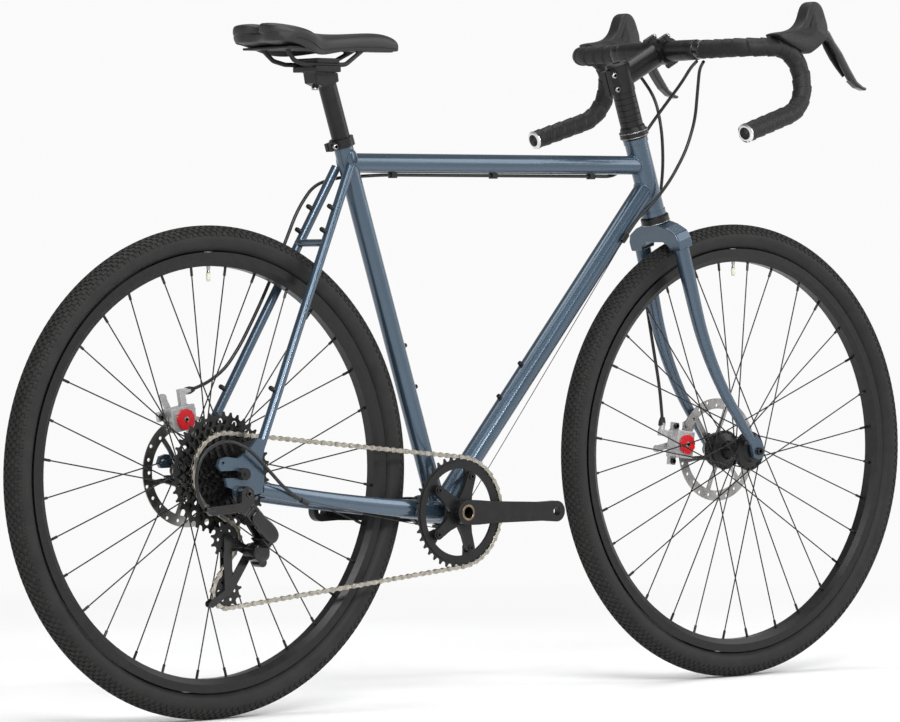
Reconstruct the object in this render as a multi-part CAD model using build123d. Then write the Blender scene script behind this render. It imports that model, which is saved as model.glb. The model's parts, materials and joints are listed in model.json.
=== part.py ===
from build123d import *
import os
from math import asin, atan2, ceil, cos, hypot, pi, radians, sin, tan

os.makedirs("parts", exist_ok=True)

# Rigid steel bicycle with drop bars, disc brakes and one chainring, about a 56 cm frame.
# +X is forward, +Y is left, +Z is up; the chain is on the right. All lengths are millimetres.
# The origin is on the ground, midway between the two axles.

# ---------------------------------------------------------------- driving dimensions
WHEELBASE = 1020.0
TYRE_RADIUS = 351.0
TYRE_WIDTH = 41.0
BB_DROP = 71.0
CHAINSTAY = 426.5
HEAD_ANGLE = 72.0
SEAT_ANGLE = 72.0
FORK_RAKE = 44.45
HEAD_LOW = 399.0            # distances along the steering axis, up from the foot of the rake
HEAD_HIGH = 522.0
STEM_LOW = 596.0
STEM_HEIGHT = 41.0
STEM_LENGTH = 92.0
STEM_RISE = 24.0            # degrees above the ground
TOP_TUBE_HEIGHT = 792.0
SEAT_TUBE_LENGTH = 575.5
POST_HIGH = 664.0           # top of the seat post's tube, along the seat tube from the bottom bracket
POST_LENGTH = 300.0
CRANK_LENGTH = 172.5
CRANK_DIP = 1.5             # the right crank points forward and this many degrees down
CHAIN_PITCH = 12.7
CHAINLINE = 47.5
RING_TEETH = 40
COG_TEETH = (42, 36, 32, 28, 25, 22, 19, 17, 15, 13, 11)
COG_PITCH = 3.75
BIG_COG_Y = -25.0
PULLEY_TEETH = 12
SPOKES = 32
ROTOR_RADIUS = 80.0
FRONT_FLANGES = (-33.5, 21.5)
REAR_FLANGES = (-18.5, 33.0)
FRONT_ROTOR_Y = 39.5
REAR_ROTOR_Y = 52.0
THROUGH_AXLE = 6.0          # radius of the front axle
RUN_GAP = 0.05              # radial clearance of a running fit

# ---------------------------------------------------------------- derived places
REAR_AXLE = Vector(-WHEELBASE / 2, 0, TYRE_RADIUS)
FRONT_AXLE = Vector(WHEELBASE / 2, 0, TYRE_RADIUS)
BB = Vector(REAR_AXLE.X + (CHAINSTAY**2 - BB_DROP**2) ** 0.5, 0, TYRE_RADIUS - BB_DROP)
HEAD_DIR = Vector(-cos(radians(HEAD_ANGLE)), 0, sin(radians(HEAD_ANGLE)))
HEAD_FRONT = Vector(HEAD_DIR.Z, 0, -HEAD_DIR.X)
HEAD_FOOT = FRONT_AXLE - HEAD_FRONT * FORK_RAKE
SEAT_DIR = Vector(-cos(radians(SEAT_ANGLE)), 0, sin(radians(SEAT_ANGLE)))
SEAT_FRONT = Vector(SEAT_DIR.Z, 0, -SEAT_DIR.X)
LEFT = Vector(0, 1, 0)
UP = Vector(0, 0, 1)
SIDES = (-1, 1)             # right, left


def on_head(along, forward=0.0, left=0.0):
    """Point given along the steering axis, forward of it and to the left."""
    return HEAD_FOOT + HEAD_DIR * along + HEAD_FRONT * forward + LEFT * left


def on_seat(along, forward=0.0, left=0.0):
    """Point given along the seat tube from the bottom bracket, forward and left."""
    return BB + SEAT_DIR * along + SEAT_FRONT * forward + LEFT * left


def from_rear(x, z, y=0.0):
    """Point given from the rear axle."""
    return REAR_AXLE + Vector(x, y, z)


# ---------------------------------------------------------------- shape helpers
def rod(start, end, outer, inner=0.0):
    """Straight round bar, or tube, between two points."""
    start, end = Vector(*start), Vector(*end)
    low = (Align.CENTER, Align.CENTER, Align.MIN)
    length = (end - start).length
    body = Cylinder(outer, length, align=low)
    if inner:
        body -= Cylinder(inner, length, align=low)
    return Plane(origin=start, z_dir=end - start) * body


def bent_tube(points, radii, outer, inner=0.0):
    """Round tube along straight runs joined by tangent arcs."""
    path = FilletPolyline(*points, radius=radii)
    start = Plane(origin=path @ 0, z_dir=path % 0)
    section = start * Circle(outer)
    if inner:
        section -= start * Circle(inner)
    return sweep(section, path=path)


def cable(points, outer=2.5):
    """Cable housing held along its route, each bend as wide as its two runs allow."""
    points = [Vector(*point) for point in points]
    radii = []
    for before, corner, after in zip(points, points[1:], points[2:]):
        turn = (corner - before).get_angle(after - corner)
        shorter = min((corner - before).length, (after - corner).length)
        radii.append(0.45 * shorter / tan(radians(turn) / 2))
    return bent_tube(points, radii, outer)


def turned(outline, origin=(0, 0, 0), axis=(0, 0, 1)):
    """Solid of revolution; outline is a list of (radius, height) corners."""
    face = Plane.XZ * Polygon(*outline, align=None)
    return Plane(origin=Vector(*origin), z_dir=Vector(*axis)) * revolve(face, axis=Axis.Z)


def wheel_turned(outline, centre):
    """Solid of revolution about a wheel axle; outline is a list of (radius, y) corners."""
    return turned(outline, centre, (0, 1, 0))


def side_plate(outline, low_y, high_y, centre=Vector(0, 0, 0)):
    """Plate cut to a side-view outline of (x, z) corners, between two y values."""
    face = Plane.XZ * Polygon(*[(x + centre.X, z + centre.Z) for x, z in outline], align=None)
    return Pos(0, high_y, 0) * extrude(face, amount=high_y - low_y, dir=(0, -1, 0))


def ring(centre, y_low, y_high, outer, inner=0.0):
    """Round disc or ring about an axis along Y."""
    return rod((centre.X, y_low, centre.Z), (centre.X, y_high, centre.Z), outer, inner)


def around(shape, centre, count, first=0.0):
    """Copies of a shape evenly spaced about an axis along Y through a centre."""
    axis = Axis((centre.X, centre.Y, centre.Z), (0, 1, 0))
    return [shape.rotate(axis, first + 360.0 * i / count) for i in range(count)]


def cut(shape, *tools):
    """Take several other solids away from a shape."""
    for tool in tools:
        shape = shape - tool
    return shape


def largest(shape):
    """The biggest solid of a shape, once small offcuts are dropped."""
    return max(shape.solids(), key=lambda solid: solid.volume)


def mirrored(shape):
    """The same shape on the other side of the bicycle."""
    return mirror(shape, about=Plane.XZ)


def save(node, *shapes):
    """Write one sub-part as a STEP file."""
    solids = [solid for shape in shapes for solid in shape.solids()]
    export_step(Compound(solids), f"parts/{node}.step")
    return solids


# ---------------------------------------------------------------- frame tubes
HEAD_OUTER, HEAD_INNER = 18.0, 17.0
SHELL_OUTER, SHELL_INNER, SHELL_HALF = 20.25, 17.5, 34.0
SEAT_OUTER = 14.3
POST_OUTER = 13.6
DOWN_OUTER = 15.9
WALL = 0.9
DOWN_TUBE_MEETS = 445.5     # along the steering axis

head_solid = rod(on_head(HEAD_LOW), on_head(HEAD_HIGH), HEAD_OUTER)
seat_solid = rod(BB, on_seat(SEAT_TUBE_LENGTH), SEAT_OUTER)
shell_solid = ring(BB, -SHELL_HALF, SHELL_HALF, SHELL_OUTER)


def frame_tubes():
    """Head, top, down and seat tubes and the bottom bracket shell, mitred to each other."""
    head = rod(on_head(HEAD_LOW), on_head(HEAD_HIGH), HEAD_OUTER, HEAD_INNER)
    for low in (HEAD_LOW, HEAD_HIGH - 7):
        head += rod(on_head(low), on_head(low + 7), HEAD_OUTER + 1.2, HEAD_OUTER - 0.5)
    save("head_tube", head)
    top_rear = Vector(BB.X - (TOP_TUBE_HEIGHT - BB.Z) / tan(radians(SEAT_ANGLE)), 0, TOP_TUBE_HEIGHT)
    meet = (TOP_TUBE_HEIGHT - HEAD_FOOT.Z) / HEAD_DIR.Z
    top = rod(top_rear, on_head(meet), SEAT_OUTER, SEAT_OUTER - WALL)
    save("top_tube", cut(top, seat_solid, head_solid))
    down = rod(BB, on_head(DOWN_TUBE_MEETS), DOWN_OUTER, DOWN_OUTER - WALL)
    save("down_tube", cut(down, shell_solid, seat_solid, head_solid))
    seat = rod(BB, on_seat(SEAT_TUBE_LENGTH), SEAT_OUTER, POST_OUTER + RUN_GAP)
    save("seat_tube", cut(seat, shell_solid))
    save("bottom_bracket_shell", ring(BB, -SHELL_HALF, SHELL_HALF, SHELL_OUTER, SHELL_INNER))


# ---------------------------------------------------------------- rear triangle
DROPOUT_IN, DROPOUT_OUT = 67.6, 73.6
AXLE_OUTER = 5.0
STAY_TOP = Vector(-264, 16, 786)
STAY_LOW = Vector(-470, 68, 392)
CHAINSTAY_ROUTE = ((-98, 22, 281), (-168, 33.5, 287), (-475, 69.5, 329))
CHAINSTAY_TALL = (14.5, 13.5, 10.0)
CHAINSTAY_WIDE = (7.5, 7.0, 6.0)
DROPOUT_OUTLINE = ((-41, 12), (-37, 22), (-26, 25), (-6, 22), (12, 31), (30, 50), (46, 46),
                   (37, 20), (41, -6), (39, -28), (26, -30), (10, -28), (-24, -18), (-28, -5.2))
HANGER_TAB = ((14, -28), (14, -32), (11, -38), (2, -41), (-7, -38), (-11, -32), (-13, -20))
HANGER = Vector(-508.0, -70.6, 323.0)
HANGER_BOLT = 4.9


def dropout(side):
    """Plate that holds one end of the rear axle in a slot open to the rear."""
    low, high = sorted((side * DROPOUT_IN, side * DROPOUT_OUT))
    plate = side_plate(DROPOUT_OUTLINE, low, high, REAR_AXLE)
    slot = side_plate([(-60, -5.2), (0, -5.2), (0, 5.2), (-60, 5.2)], low, high, REAR_AXLE)
    slot_end = ring(REAR_AXLE, low, high, 5.2)
    eyelet = ring(from_rear(-32, 16), low, high, 2.6)
    plate = cut(plate, slot, slot_end, eyelet)
    if side < 0:
        plate = cut(plate + side_plate(HANGER_TAB, low, high, REAR_AXLE), slot_end)
        plate = cut(plate, ring(HANGER, low, high, HANGER_BOLT + 0.05))
    return plate


def oval_tube(route, half_heights, half_widths, wall=0.0):
    """Solid with an oval section at each point of its route, less a wall thickness."""
    sections = []
    for i, point in enumerate(route):
        ahead = Vector(*route[min(i + 1, len(route) - 1)]) - Vector(*route[max(i - 1, 0)])
        plane = Plane(origin=point, x_dir=ahead.cross(UP), z_dir=ahead)
        sections.append(plane * Ellipse(half_widths[i] - wall, half_heights[i] - wall))
    return loft(sections)


def rear_triangle():
    """Chainstays, seatstays, their bridges and the dropouts."""
    beyond = side_plate(DROPOUT_OUTLINE, DROPOUT_IN, DROPOUT_OUT + 20, REAR_AXLE)
    core = oval_tube(CHAINSTAY_ROUTE, CHAINSTAY_TALL, CHAINSTAY_WIDE)
    bore = oval_tube(CHAINSTAY_ROUTE, CHAINSTAY_TALL, CHAINSTAY_WIDE, 1.0)
    lower = largest(cut(core, bore, shell_solid, seat_solid, beyond))
    low_bridge = largest(cut(rod((-146, -27, 285), (-146, 27, 285), 6.0), core, mirrored(core)))
    save("chainstays", lower, mirrored(lower), low_bridge)
    upper_core = rod(STAY_TOP, STAY_LOW, 7.0)
    upper = largest(cut(rod(STAY_TOP, STAY_LOW, 7.0, 6.0), seat_solid, beyond))
    bridge_rod = rod((-324, -32, 676), (-324, 32, 676), 5.5)
    bridge = largest(cut(bridge_rod, upper_core, mirrored(upper_core)))
    save("seatstays", upper, mirrored(upper), bridge)
    save("dropouts", *[dropout(side) for side in SIDES])


# ---------------------------------------------------------------- frame fittings and bearings
SPINDLE = 12.0
CUP_OUTER = 22.0
CUP_FACE = 44.4             # the bottom bracket cups reach this far out
STEERER = 14.3
COLLAR_LOW = 563.0
DOWN_STOP_ALONG = 536.0
CABLE_GUIDES_X = (-171, 22, 216)
HOUSING_DROP = 17.2         # the brake housing hangs this far below the top tube's axis


def boss(point, direction, outer, height, head):
    """Threaded boss with a bolt head on it, standing on a tube."""
    point, direction = Vector(*point), Vector(*direction).normalized()
    body = rod(point, point + direction * height, outer)
    cap = rod(point + direction * height, point + direction * (height + head), outer * 0.8)
    return body + cap


def frame_fittings():
    """Bottle bosses, rack bosses, cable stops and housing guides brazed to the frame."""
    down_dir = (on_head(DOWN_TUBE_MEETS) - BB).normalized()
    down_up = Vector(-down_dir.Z, 0, down_dir.X)
    pieces = []
    for along in (204, 268):
        pieces.append(boss(BB + down_dir * along + down_up * (DOWN_OUTER + 0.02), down_up, 4.0, 2.5, 3))
        start = on_seat(along - 16, SEAT_OUTER + 0.02)
        pieces.append(boss(start, SEAT_FRONT, 4.0, 2.5, 3.0))
    stay_dir = (STAY_LOW - STAY_TOP).normalized()
    stay_back = stay_dir.cross(LEFT)
    if stay_back.X > 0:
        stay_back = stay_back * -1
    for along in (72, 110, 366):
        start = STAY_TOP + stay_dir * along + stay_back * 7.2
        pieces.append(boss(start, stay_back, 3.6, 7.0, 2.0))
        pieces.append(mirrored(pieces[-1]))
    for x in CABLE_GUIDES_X:
        height = TOP_TUBE_HEIGHT - HOUSING_DROP
        holder = Pos(x, 0, height) * Box(10, 9, 9)
        bore = rod((x - 9, 0, height), (x + 9, 0, height), 2.55)
        tube_core = rod((x - 9, 0, TOP_TUBE_HEIGHT), (x + 9, 0, TOP_TUBE_HEIGHT), SEAT_OUTER + 0.02)
        pieces.append(cut(holder, bore, tube_core))
    for side in SIDES:
        start = BB + down_dir * DOWN_STOP_ALONG + LEFT * (side * 20.5) - down_up * 4
        pieces.append(rod(start - down_dir * 7, start + down_dir * 7, 4.4, 1.0 if side < 0 else 0.0))
    guide = Pos(BB.X + 4, -8, BB.Z - SHELL_OUTER - 2.0) * Box(22, 26, 4)
    groove = rod((BB.X - 20, -14, BB.Z - SHELL_OUTER - 4), (BB.X + 20, -14, BB.Z - SHELL_OUTER - 4), 1.5)
    pieces.append(cut(guide, groove, shell_solid))
    save("frame_bosses", *pieces)


def bearings_and_collar():
    """Headset cups, bottom bracket cups and the collar that clamps the seat post."""
    lower = [(15.0, 0), (22.0, 0), (22.0, 9), (19.3, 11.9), (16.98, 11.9), (16.98, 24), (15.6, 24),
             (15.6, 4), (15.0, 4)]
    low_origin, high_origin = on_head(HEAD_LOW - 12.0), on_head(HEAD_HIGH + 12.0)
    cups = [turned(lower, low_origin, HEAD_DIR), turned(lower, high_origin, HEAD_DIR * -1)]
    race = [(STEERER + RUN_GAP, 4.2), (15.5, 4.2), (15.5, 12), (STEERER + RUN_GAP, 12)]
    cups += [turned(race, low_origin, HEAD_DIR), turned(race, high_origin, HEAD_DIR * -1)]
    save("headset_cups", *cups)
    cup = [(SPINDLE + RUN_GAP, 20), (17.4, 20), (17.4, 34.05), (CUP_OUTER, 34.05), (CUP_OUTER, 43),
           (20.5, CUP_FACE), (SPINDLE + RUN_GAP, CUP_FACE)]
    cup = wheel_turned(cup, BB)
    save("bottom_bracket_cups", cup, mirrored(cup))
    collar = rod(on_seat(COLLAR_LOW), on_seat(COLLAR_LOW + 13), 18.0, SEAT_OUTER + 0.02)
    ears = Plane(origin=on_seat(COLLAR_LOW + 6.5, -20), z_dir=SEAT_DIR) * Box(14, 15, 12)
    bore = rod(on_seat(COLLAR_LOW - 5), on_seat(COLLAR_LOW + 20), SEAT_OUTER + 0.02)
    slit = Plane(origin=on_seat(COLLAR_LOW + 6.5, -20), z_dir=SEAT_DIR) * Box(16, 2, 16)
    bolt_hole = rod(on_seat(COLLAR_LOW + 6.5, -22, -12), on_seat(COLLAR_LOW + 6.5, -22, 12), 2.6)
    bolt = rod(on_seat(COLLAR_LOW + 6.5, -22, -7.6), on_seat(COLLAR_LOW + 6.5, -22, 9), 2.5)
    bolt += rod(on_seat(COLLAR_LOW + 6.5, -22, -12.5), on_seat(COLLAR_LOW + 6.5, -22, -7.6), 4.2)
    save("seat_collar", cut(collar + ears, bore, slit, bolt_hole), bolt)


# ---------------------------------------------------------------- wheels
RIM_INNER = 293.0
SPOKE = 1.0
NIPPLE = 2.0
HUB_HOLES = 28.0            # radius of the circle of spoke holes in a flange
FLANGE_HALF = 1.5
FLANGE_OUTER = 30.4
NIPPLE_LOW, NIPPLE_HIGH = 280.0, 297.0


def tyre_and_tube(centre):
    """Tyre casing open towards the rim, with an inner tube and its valve."""
    axis = Axis((centre.X, 0, centre.Z), (0, 1, 0))
    middle = TYRE_RADIUS - TYRE_WIDTH / 2
    half = TYRE_WIDTH / 2
    flat = Plane(origin=(centre.X + middle, 0, centre.Z), x_dir=(0, 1, 0), z_dir=(0, 0, 1))
    opening = flat * Pos(0, half) * Rectangle(15, 20)
    casing = revolve(flat * Circle(half) - flat * Circle(half - 3.2) - opening, axis=axis)
    tube = revolve(flat * Circle(half - 3.4) - flat * Circle(half - 4.4), axis=axis)
    top = centre.Z + middle - half + 2.8
    valve = rod((centre.X, 0, centre.Z + 258), (centre.X, 0, top), 3.0, 1.0)
    return casing, tube, valve


def spoke_lines(centre, flanges):
    """Hub end and rim end of every spoke, laced three-cross from both faces of each flange."""
    lines = []
    for i in range(SPOKES):
        side = i % 2
        pair = i // 2
        leading = 1 if pair % 2 else -1
        flange_y = flanges[side]
        outside = 1 if side else -1
        face = outside * (FLANGE_HALF + SPOKE + 1.1) if leading > 0 else -outside * (FLANGE_HALF + SPOKE + 0.1)
        rim_angle = radians(360.0 / SPOKES * (i + 0.5))
        hub_angle = rim_angle + leading * radians(360.0 / SPOKES * 6)
        hub = centre + Vector(HUB_HOLES * sin(hub_angle), flange_y + face, HUB_HOLES * cos(hub_angle))
        rim = centre + Vector(NIPPLE_HIGH * sin(rim_angle), outside * 2.5, NIPPLE_HIGH * cos(rim_angle))
        lines.append((hub, rim, flange_y, face))
    return lines


def rim(centre, flanges):
    """Double-wall rim with its spoke and valve holes."""
    outer = [(RIM_INNER, -7.5), (RIM_INNER, 7.5), (301, 12.4), (313, 12.4), (313, 11.4), (309.6, 11.4),
             (309.6, -11.4), (313, -11.4), (313, -12.4), (301, -12.4)]
    hollow = [(294.8, -6.3), (294.8, 6.3), (301.6, 10.8), (308, 10.8), (308, -10.8), (301.6, -10.8)]
    body = wheel_turned(outer, centre) - wheel_turned(hollow, centre)
    holes = []
    for hub, end, _, _ in spoke_lines(centre, flanges):
        run = (end - hub).normalized()
        holes.append(rod(end - run * 18, end + run * 4, NIPPLE + 0.15))
    holes.append(rod(centre + UP * (RIM_INNER - 5), centre + UP * 312, 3.2))
    return cut(body, *holes)


def spokes(centre, flanges):
    """Spokes with their bent heads, and the nipples that hold them to the rim."""
    pieces = []
    for hub, end, flange_y, face in spoke_lines(centre, flanges):
        run = (end - hub).normalized()
        far = flange_y - (face / abs(face)) * (FLANGE_HALF + 0.06)
        head_end = far - (face / abs(face)) * 0.9
        elbow = rod(hub, (hub.X, far, hub.Z), SPOKE)
        head = rod((hub.X, far, hub.Z), (hub.X, head_end, hub.Z), 1.9)
        length = (end - hub).length
        nipple_start = hub + run * (length - (NIPPLE_HIGH - NIPPLE_LOW))
        pieces.append(rod(hub, nipple_start, SPOKE) + elbow + head + Pos(hub) * Sphere(SPOKE))
        pieces.append(rod(nipple_start, end, NIPPLE))
    return pieces


def hub_shell(centre, flanges, outline, bore, lines):
    """Hub shell turned to an outline, with spoke holes through both flanges."""
    outline = [(bore, outline[0][1])] + outline + [(bore, outline[-1][1])]
    body = wheel_turned(outline, centre)
    holes = []
    for hub, _, flange_y, _ in lines:
        holes.append(rod((hub.X, flange_y - 4, hub.Z), (hub.X, flange_y + 4, hub.Z), SPOKE + 0.12))
    return cut(body, *holes)


def rotor(centre, y):
    """Six-bolt brake rotor with a slotted track, swept arms and its bolts."""
    low, high = y - 0.9, y + 0.9
    track = ring(centre, low, high, ROTOR_RADIUS, 64.0)
    hub = ring(centre, low, high, 27.0, 17.1)
    arm_outline = [(-3, 24), (4, 24), (16, 45), (24, 64), (17, 67), (9, 47)]
    arm = side_plate(arm_outline, low, high, Vector(centre.X, 0, centre.Z))
    body = track + hub
    for piece in around(arm, centre, 6):
        body += piece
    vents = []
    for i in range(24):
        radius = 69.0 + 3.2 * (i % 3)
        angle = radians(15.0 * i)
        place = centre + Vector(radius * sin(angle), 0, radius * cos(angle))
        vents.append(ring(place, low, high, 2.6))
    bolts, bolt_holes = [], []
    for i in range(6):
        angle = radians(60.0 * i + 10)
        place = centre + Vector(22.0 * sin(angle), 0, 22.0 * cos(angle))
        bolt_holes.append(ring(place, low, high, 2.55))
        shank = ring(place, low, high, 2.5)
        bolts.append(shank + ring(place, high, high + 2.2, 4.0, 1.5))
    return [cut(body, *vents, *bolt_holes)] + bolts


def wheels():
    """Both wheels: tyre, rim, spokes, hub and rotor each in their own node."""
    front_lines = spoke_lines(FRONT_AXLE, FRONT_FLANGES)
    rear_lines = spoke_lines(REAR_AXLE, REAR_FLANGES)
    low, high = FRONT_FLANGES
    front_outline = [(9.5, -49.9), (9.5, -45), (14, -44), (18, low - 4), (25, low - 1.5),
                     (FLANGE_OUTER, low - 1.5), (FLANGE_OUTER, low + 1.5), (26, low + 1.5), (15, low + 7),
                     (13, -6), (15, high - 7), (26, high - 1.5), (FLANGE_OUTER, high - 1.5),
                     (FLANGE_OUTER, high + 1.5), (25, high + 1.5), (21, high + 5),
                     (24.5, high + 9), (24.5, FRONT_ROTOR_Y - 0.95), (17, FRONT_ROTOR_Y - 0.95),
                     (17, FRONT_ROTOR_Y + 1.5), (9.5, 44), (9.5, 49.9)]
    rear_low, rear_high = REAR_FLANGES
    rear_outline = [(20, rear_low - 2.4), (24, rear_low - 1.5), (FLANGE_OUTER, rear_low - 1.5),
                    (FLANGE_OUTER, rear_low + 1.5), (26, rear_low + 1.5), (19, rear_low + 7), (15, 6),
                    (17, rear_high - 7), (26, rear_high - 1.5), (FLANGE_OUTER, rear_high - 1.5),
                    (FLANGE_OUTER, rear_high + 1.5), (25, rear_high + 1.5), (21, rear_high + 5),
                    (24.5, rear_high + 9), (24.5, REAR_ROTOR_Y - 0.95), (17, REAR_ROTOR_Y - 0.95),
                    (17, REAR_ROTOR_Y + 1.5),
                    (10.5, 57)]
    save("front_tyre", *tyre_and_tube(FRONT_AXLE))
    save("front_rim", rim(FRONT_AXLE, FRONT_FLANGES))
    save("front_spokes", *spokes(FRONT_AXLE, FRONT_FLANGES))
    save("front_hub", hub_shell(FRONT_AXLE, FRONT_FLANGES, front_outline, THROUGH_AXLE + RUN_GAP, front_lines))
    save("front_rotor", *rotor(FRONT_AXLE, FRONT_ROTOR_Y))
    save("rear_tyre", *tyre_and_tube(REAR_AXLE))
    save("rear_rim", rim(REAR_AXLE, REAR_FLANGES))
    save("rear_spokes", *spokes(REAR_AXLE, REAR_FLANGES))
    save("rear_hub", hub_shell(REAR_AXLE, REAR_FLANGES, rear_outline, AXLE_OUTER + RUN_GAP, rear_lines))
    save("rear_rotor", *rotor(REAR_AXLE, REAR_ROTOR_Y))


def axles():
    """Rear axle with locknuts, skewer and end nuts, and the front through-axle."""
    pieces = [ring(REAR_AXLE, -73.0, 73.0, AXLE_OUTER, 2.8)]
    for side in SIDES:
        low, high = sorted((side * (DROPOUT_IN - 4.6), side * DROPOUT_IN))
        if side > 0:
            low -= 4
        pieces.append(ring(REAR_AXLE, low, high, 8.5, AXLE_OUTER))
        low, high = sorted((side * (DROPOUT_OUT + 0.02), side * (DROPOUT_OUT + 11)))
        cap = ring(REAR_AXLE, low, high, 8.5, 2.5)
        pieces.append(cap)
    pieces.append(ring(REAR_AXLE, -86.0, 86.0, 2.5))
    save("rear_axle", *pieces)
    bar = ring(FRONT_AXLE, -60.5, 56.3, THROUGH_AXLE, 3.0)
    head = ring(FRONT_AXLE, 56.3, 62.5, 9.5, 3.0)
    save("front_axle", bar + head)


# ---------------------------------------------------------------- fork
CROWN_LOW = 345.0
BLADE_ROUTE = ((CROWN_LOW, 0, 43.5), (158, -8.5, 49.0), (16, 38.5, 53.0))
FORK_END_IN, FORK_END_OUT = 50.1, 56.1


def fork():
    """Steerer and lugged crown, and two raked blades with their ends."""
    crown_corners = [(-15, 387), (15, 387), (34, 381), (51, 371), (56, 360), (56, CROWN_LOW), (31, CROWN_LOW),
                     (29, 352), (20, 358.5), (-20, 358.5), (-29, 352), (-31, CROWN_LOW), (-56, CROWN_LOW),
                     (-56, 360), (-51, 371), (-34, 381)]
    face_plane = Plane(origin=HEAD_FOOT, x_dir=(0, 1, 0), z_dir=HEAD_FRONT * -1)
    flip = 1 if (face_plane.y_dir - HEAD_DIR).length < 1 else -1
    outline = Polygon(*[(y, flip * along) for y, along in crown_corners], align=None)
    outline = face_plane * fillet(outline.vertices(), 2.4)
    crown = extrude(outline, amount=13.5, both=True)
    steerer = rod(on_head(387.02), on_head(STEM_LOW + STEM_HEIGHT - 3), STEERER, 12.2)
    seat_ring = turned([(STEERER, 387), (20.5, 387), (20.5, 389.5), (STEERER, 391)], HEAD_FOOT, HEAD_DIR)
    save("fork_crown", steerer, crown)
    blades = [on_head(*point) for point in BLADE_ROUTE]
    path = FilletPolyline(*blades, radius=480)
    start = Plane(origin=path @ 0, z_dir=path % 0)
    end = Plane(origin=path @ 1, z_dir=path % 1)
    outer = sweep([start * Circle(12.3), end * Circle(7.0)], path=path, multisection=True)
    inner = sweep([start * Circle(11.2), end * Circle(5.8)], path=path, multisection=True)
    plate = side_plate([(-15, 16), (-4, 26), (8, 12), (13, 0), (9, -10), (0, -13), (-9, -10), (-13, 0)],
                       FORK_END_IN, FORK_END_OUT, FRONT_AXLE)
    plate -= ring(FRONT_AXLE, FORK_END_IN - 1, FORK_END_OUT + 1, THROUGH_AXLE + 0.02)
    beyond = side_plate([(-16, 17), (-4, 27), (16, 12), (16, -16), (-16, -16)],
                        FORK_END_IN - 4, FORK_END_OUT + 4, FRONT_AXLE)
    blade = largest(cut(outer, inner, beyond, crown))
    save("fork_blades", blade, mirrored(blade), plate, mirrored(plate))
    return outer


# ---------------------------------------------------------------- cockpit
BAR_CLAMP = 15.9
BAR = 11.9
TAPE = 15.0
BAR_X, BAR_Z = 359.5, 966.5
BAR_CORNERS = ((BAR_X, 207, BAR_Z), (446, 211, BAR_Z), (446, 229, 876), (313, 240, 836))
BAR_ARCS = (42, 44, 56)
TAPE_START = 85.0
HOOD_Y = 212.0
HOOD_HALF = 17.5
LEVER_PIVOT = (492.0, 989.0)
PADDLE_OUT = -208.4         # outer face of the shift paddle
PADDLE_PIVOT = Vector(506.2, -206.9, 983.0)
PADDLE_PIN = 1.0


def right_points(points):
    """The same route on the right-hand side."""
    return [(x, -y, z) for x, y, z in points]


def handlebar():
    """Drop bar with a thick clamp zone, its wrapped tape and its end plugs."""
    left = list(BAR_CORNERS)
    route = right_points(left)[::-1] + left
    radii = BAR_ARCS[::-1] + BAR_ARCS
    bar = bent_tube(route, list(radii), BAR, BAR - 2.0)
    bulge = [(BAR - 0.5, -82), (BAR, -82), (BAR_CLAMP, -60), (BAR_CLAMP, 60), (BAR, 82), (BAR - 0.5, 82)]
    bar += turned(bulge, (BAR_X, 0, BAR_Z), LEFT)
    save("handlebar", bar)
    tape_route = [(BAR_X, TAPE_START, BAR_Z)] + left
    tape = bent_tube(tape_route, list(BAR_ARCS), TAPE, BAR + 0.03)
    save("bar_tape", tape, mirrored(tape))
    outward = (Vector(*left[3]) - Vector(*left[2])).normalized()
    plug = [(0, -16), (BAR - 2.1, -16), (BAR - 2.1, 0.05), (TAPE - 0.8, 0.05), (TAPE - 0.4, 2.0), (12, 3.6),
            (0, 4.2)]
    plug = turned(plug, left[3], outward)
    save("bar_plugs", plug, mirrored(plug))
    return bent_tube(tape_route, list(BAR_ARCS), TAPE + 0.03)


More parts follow.
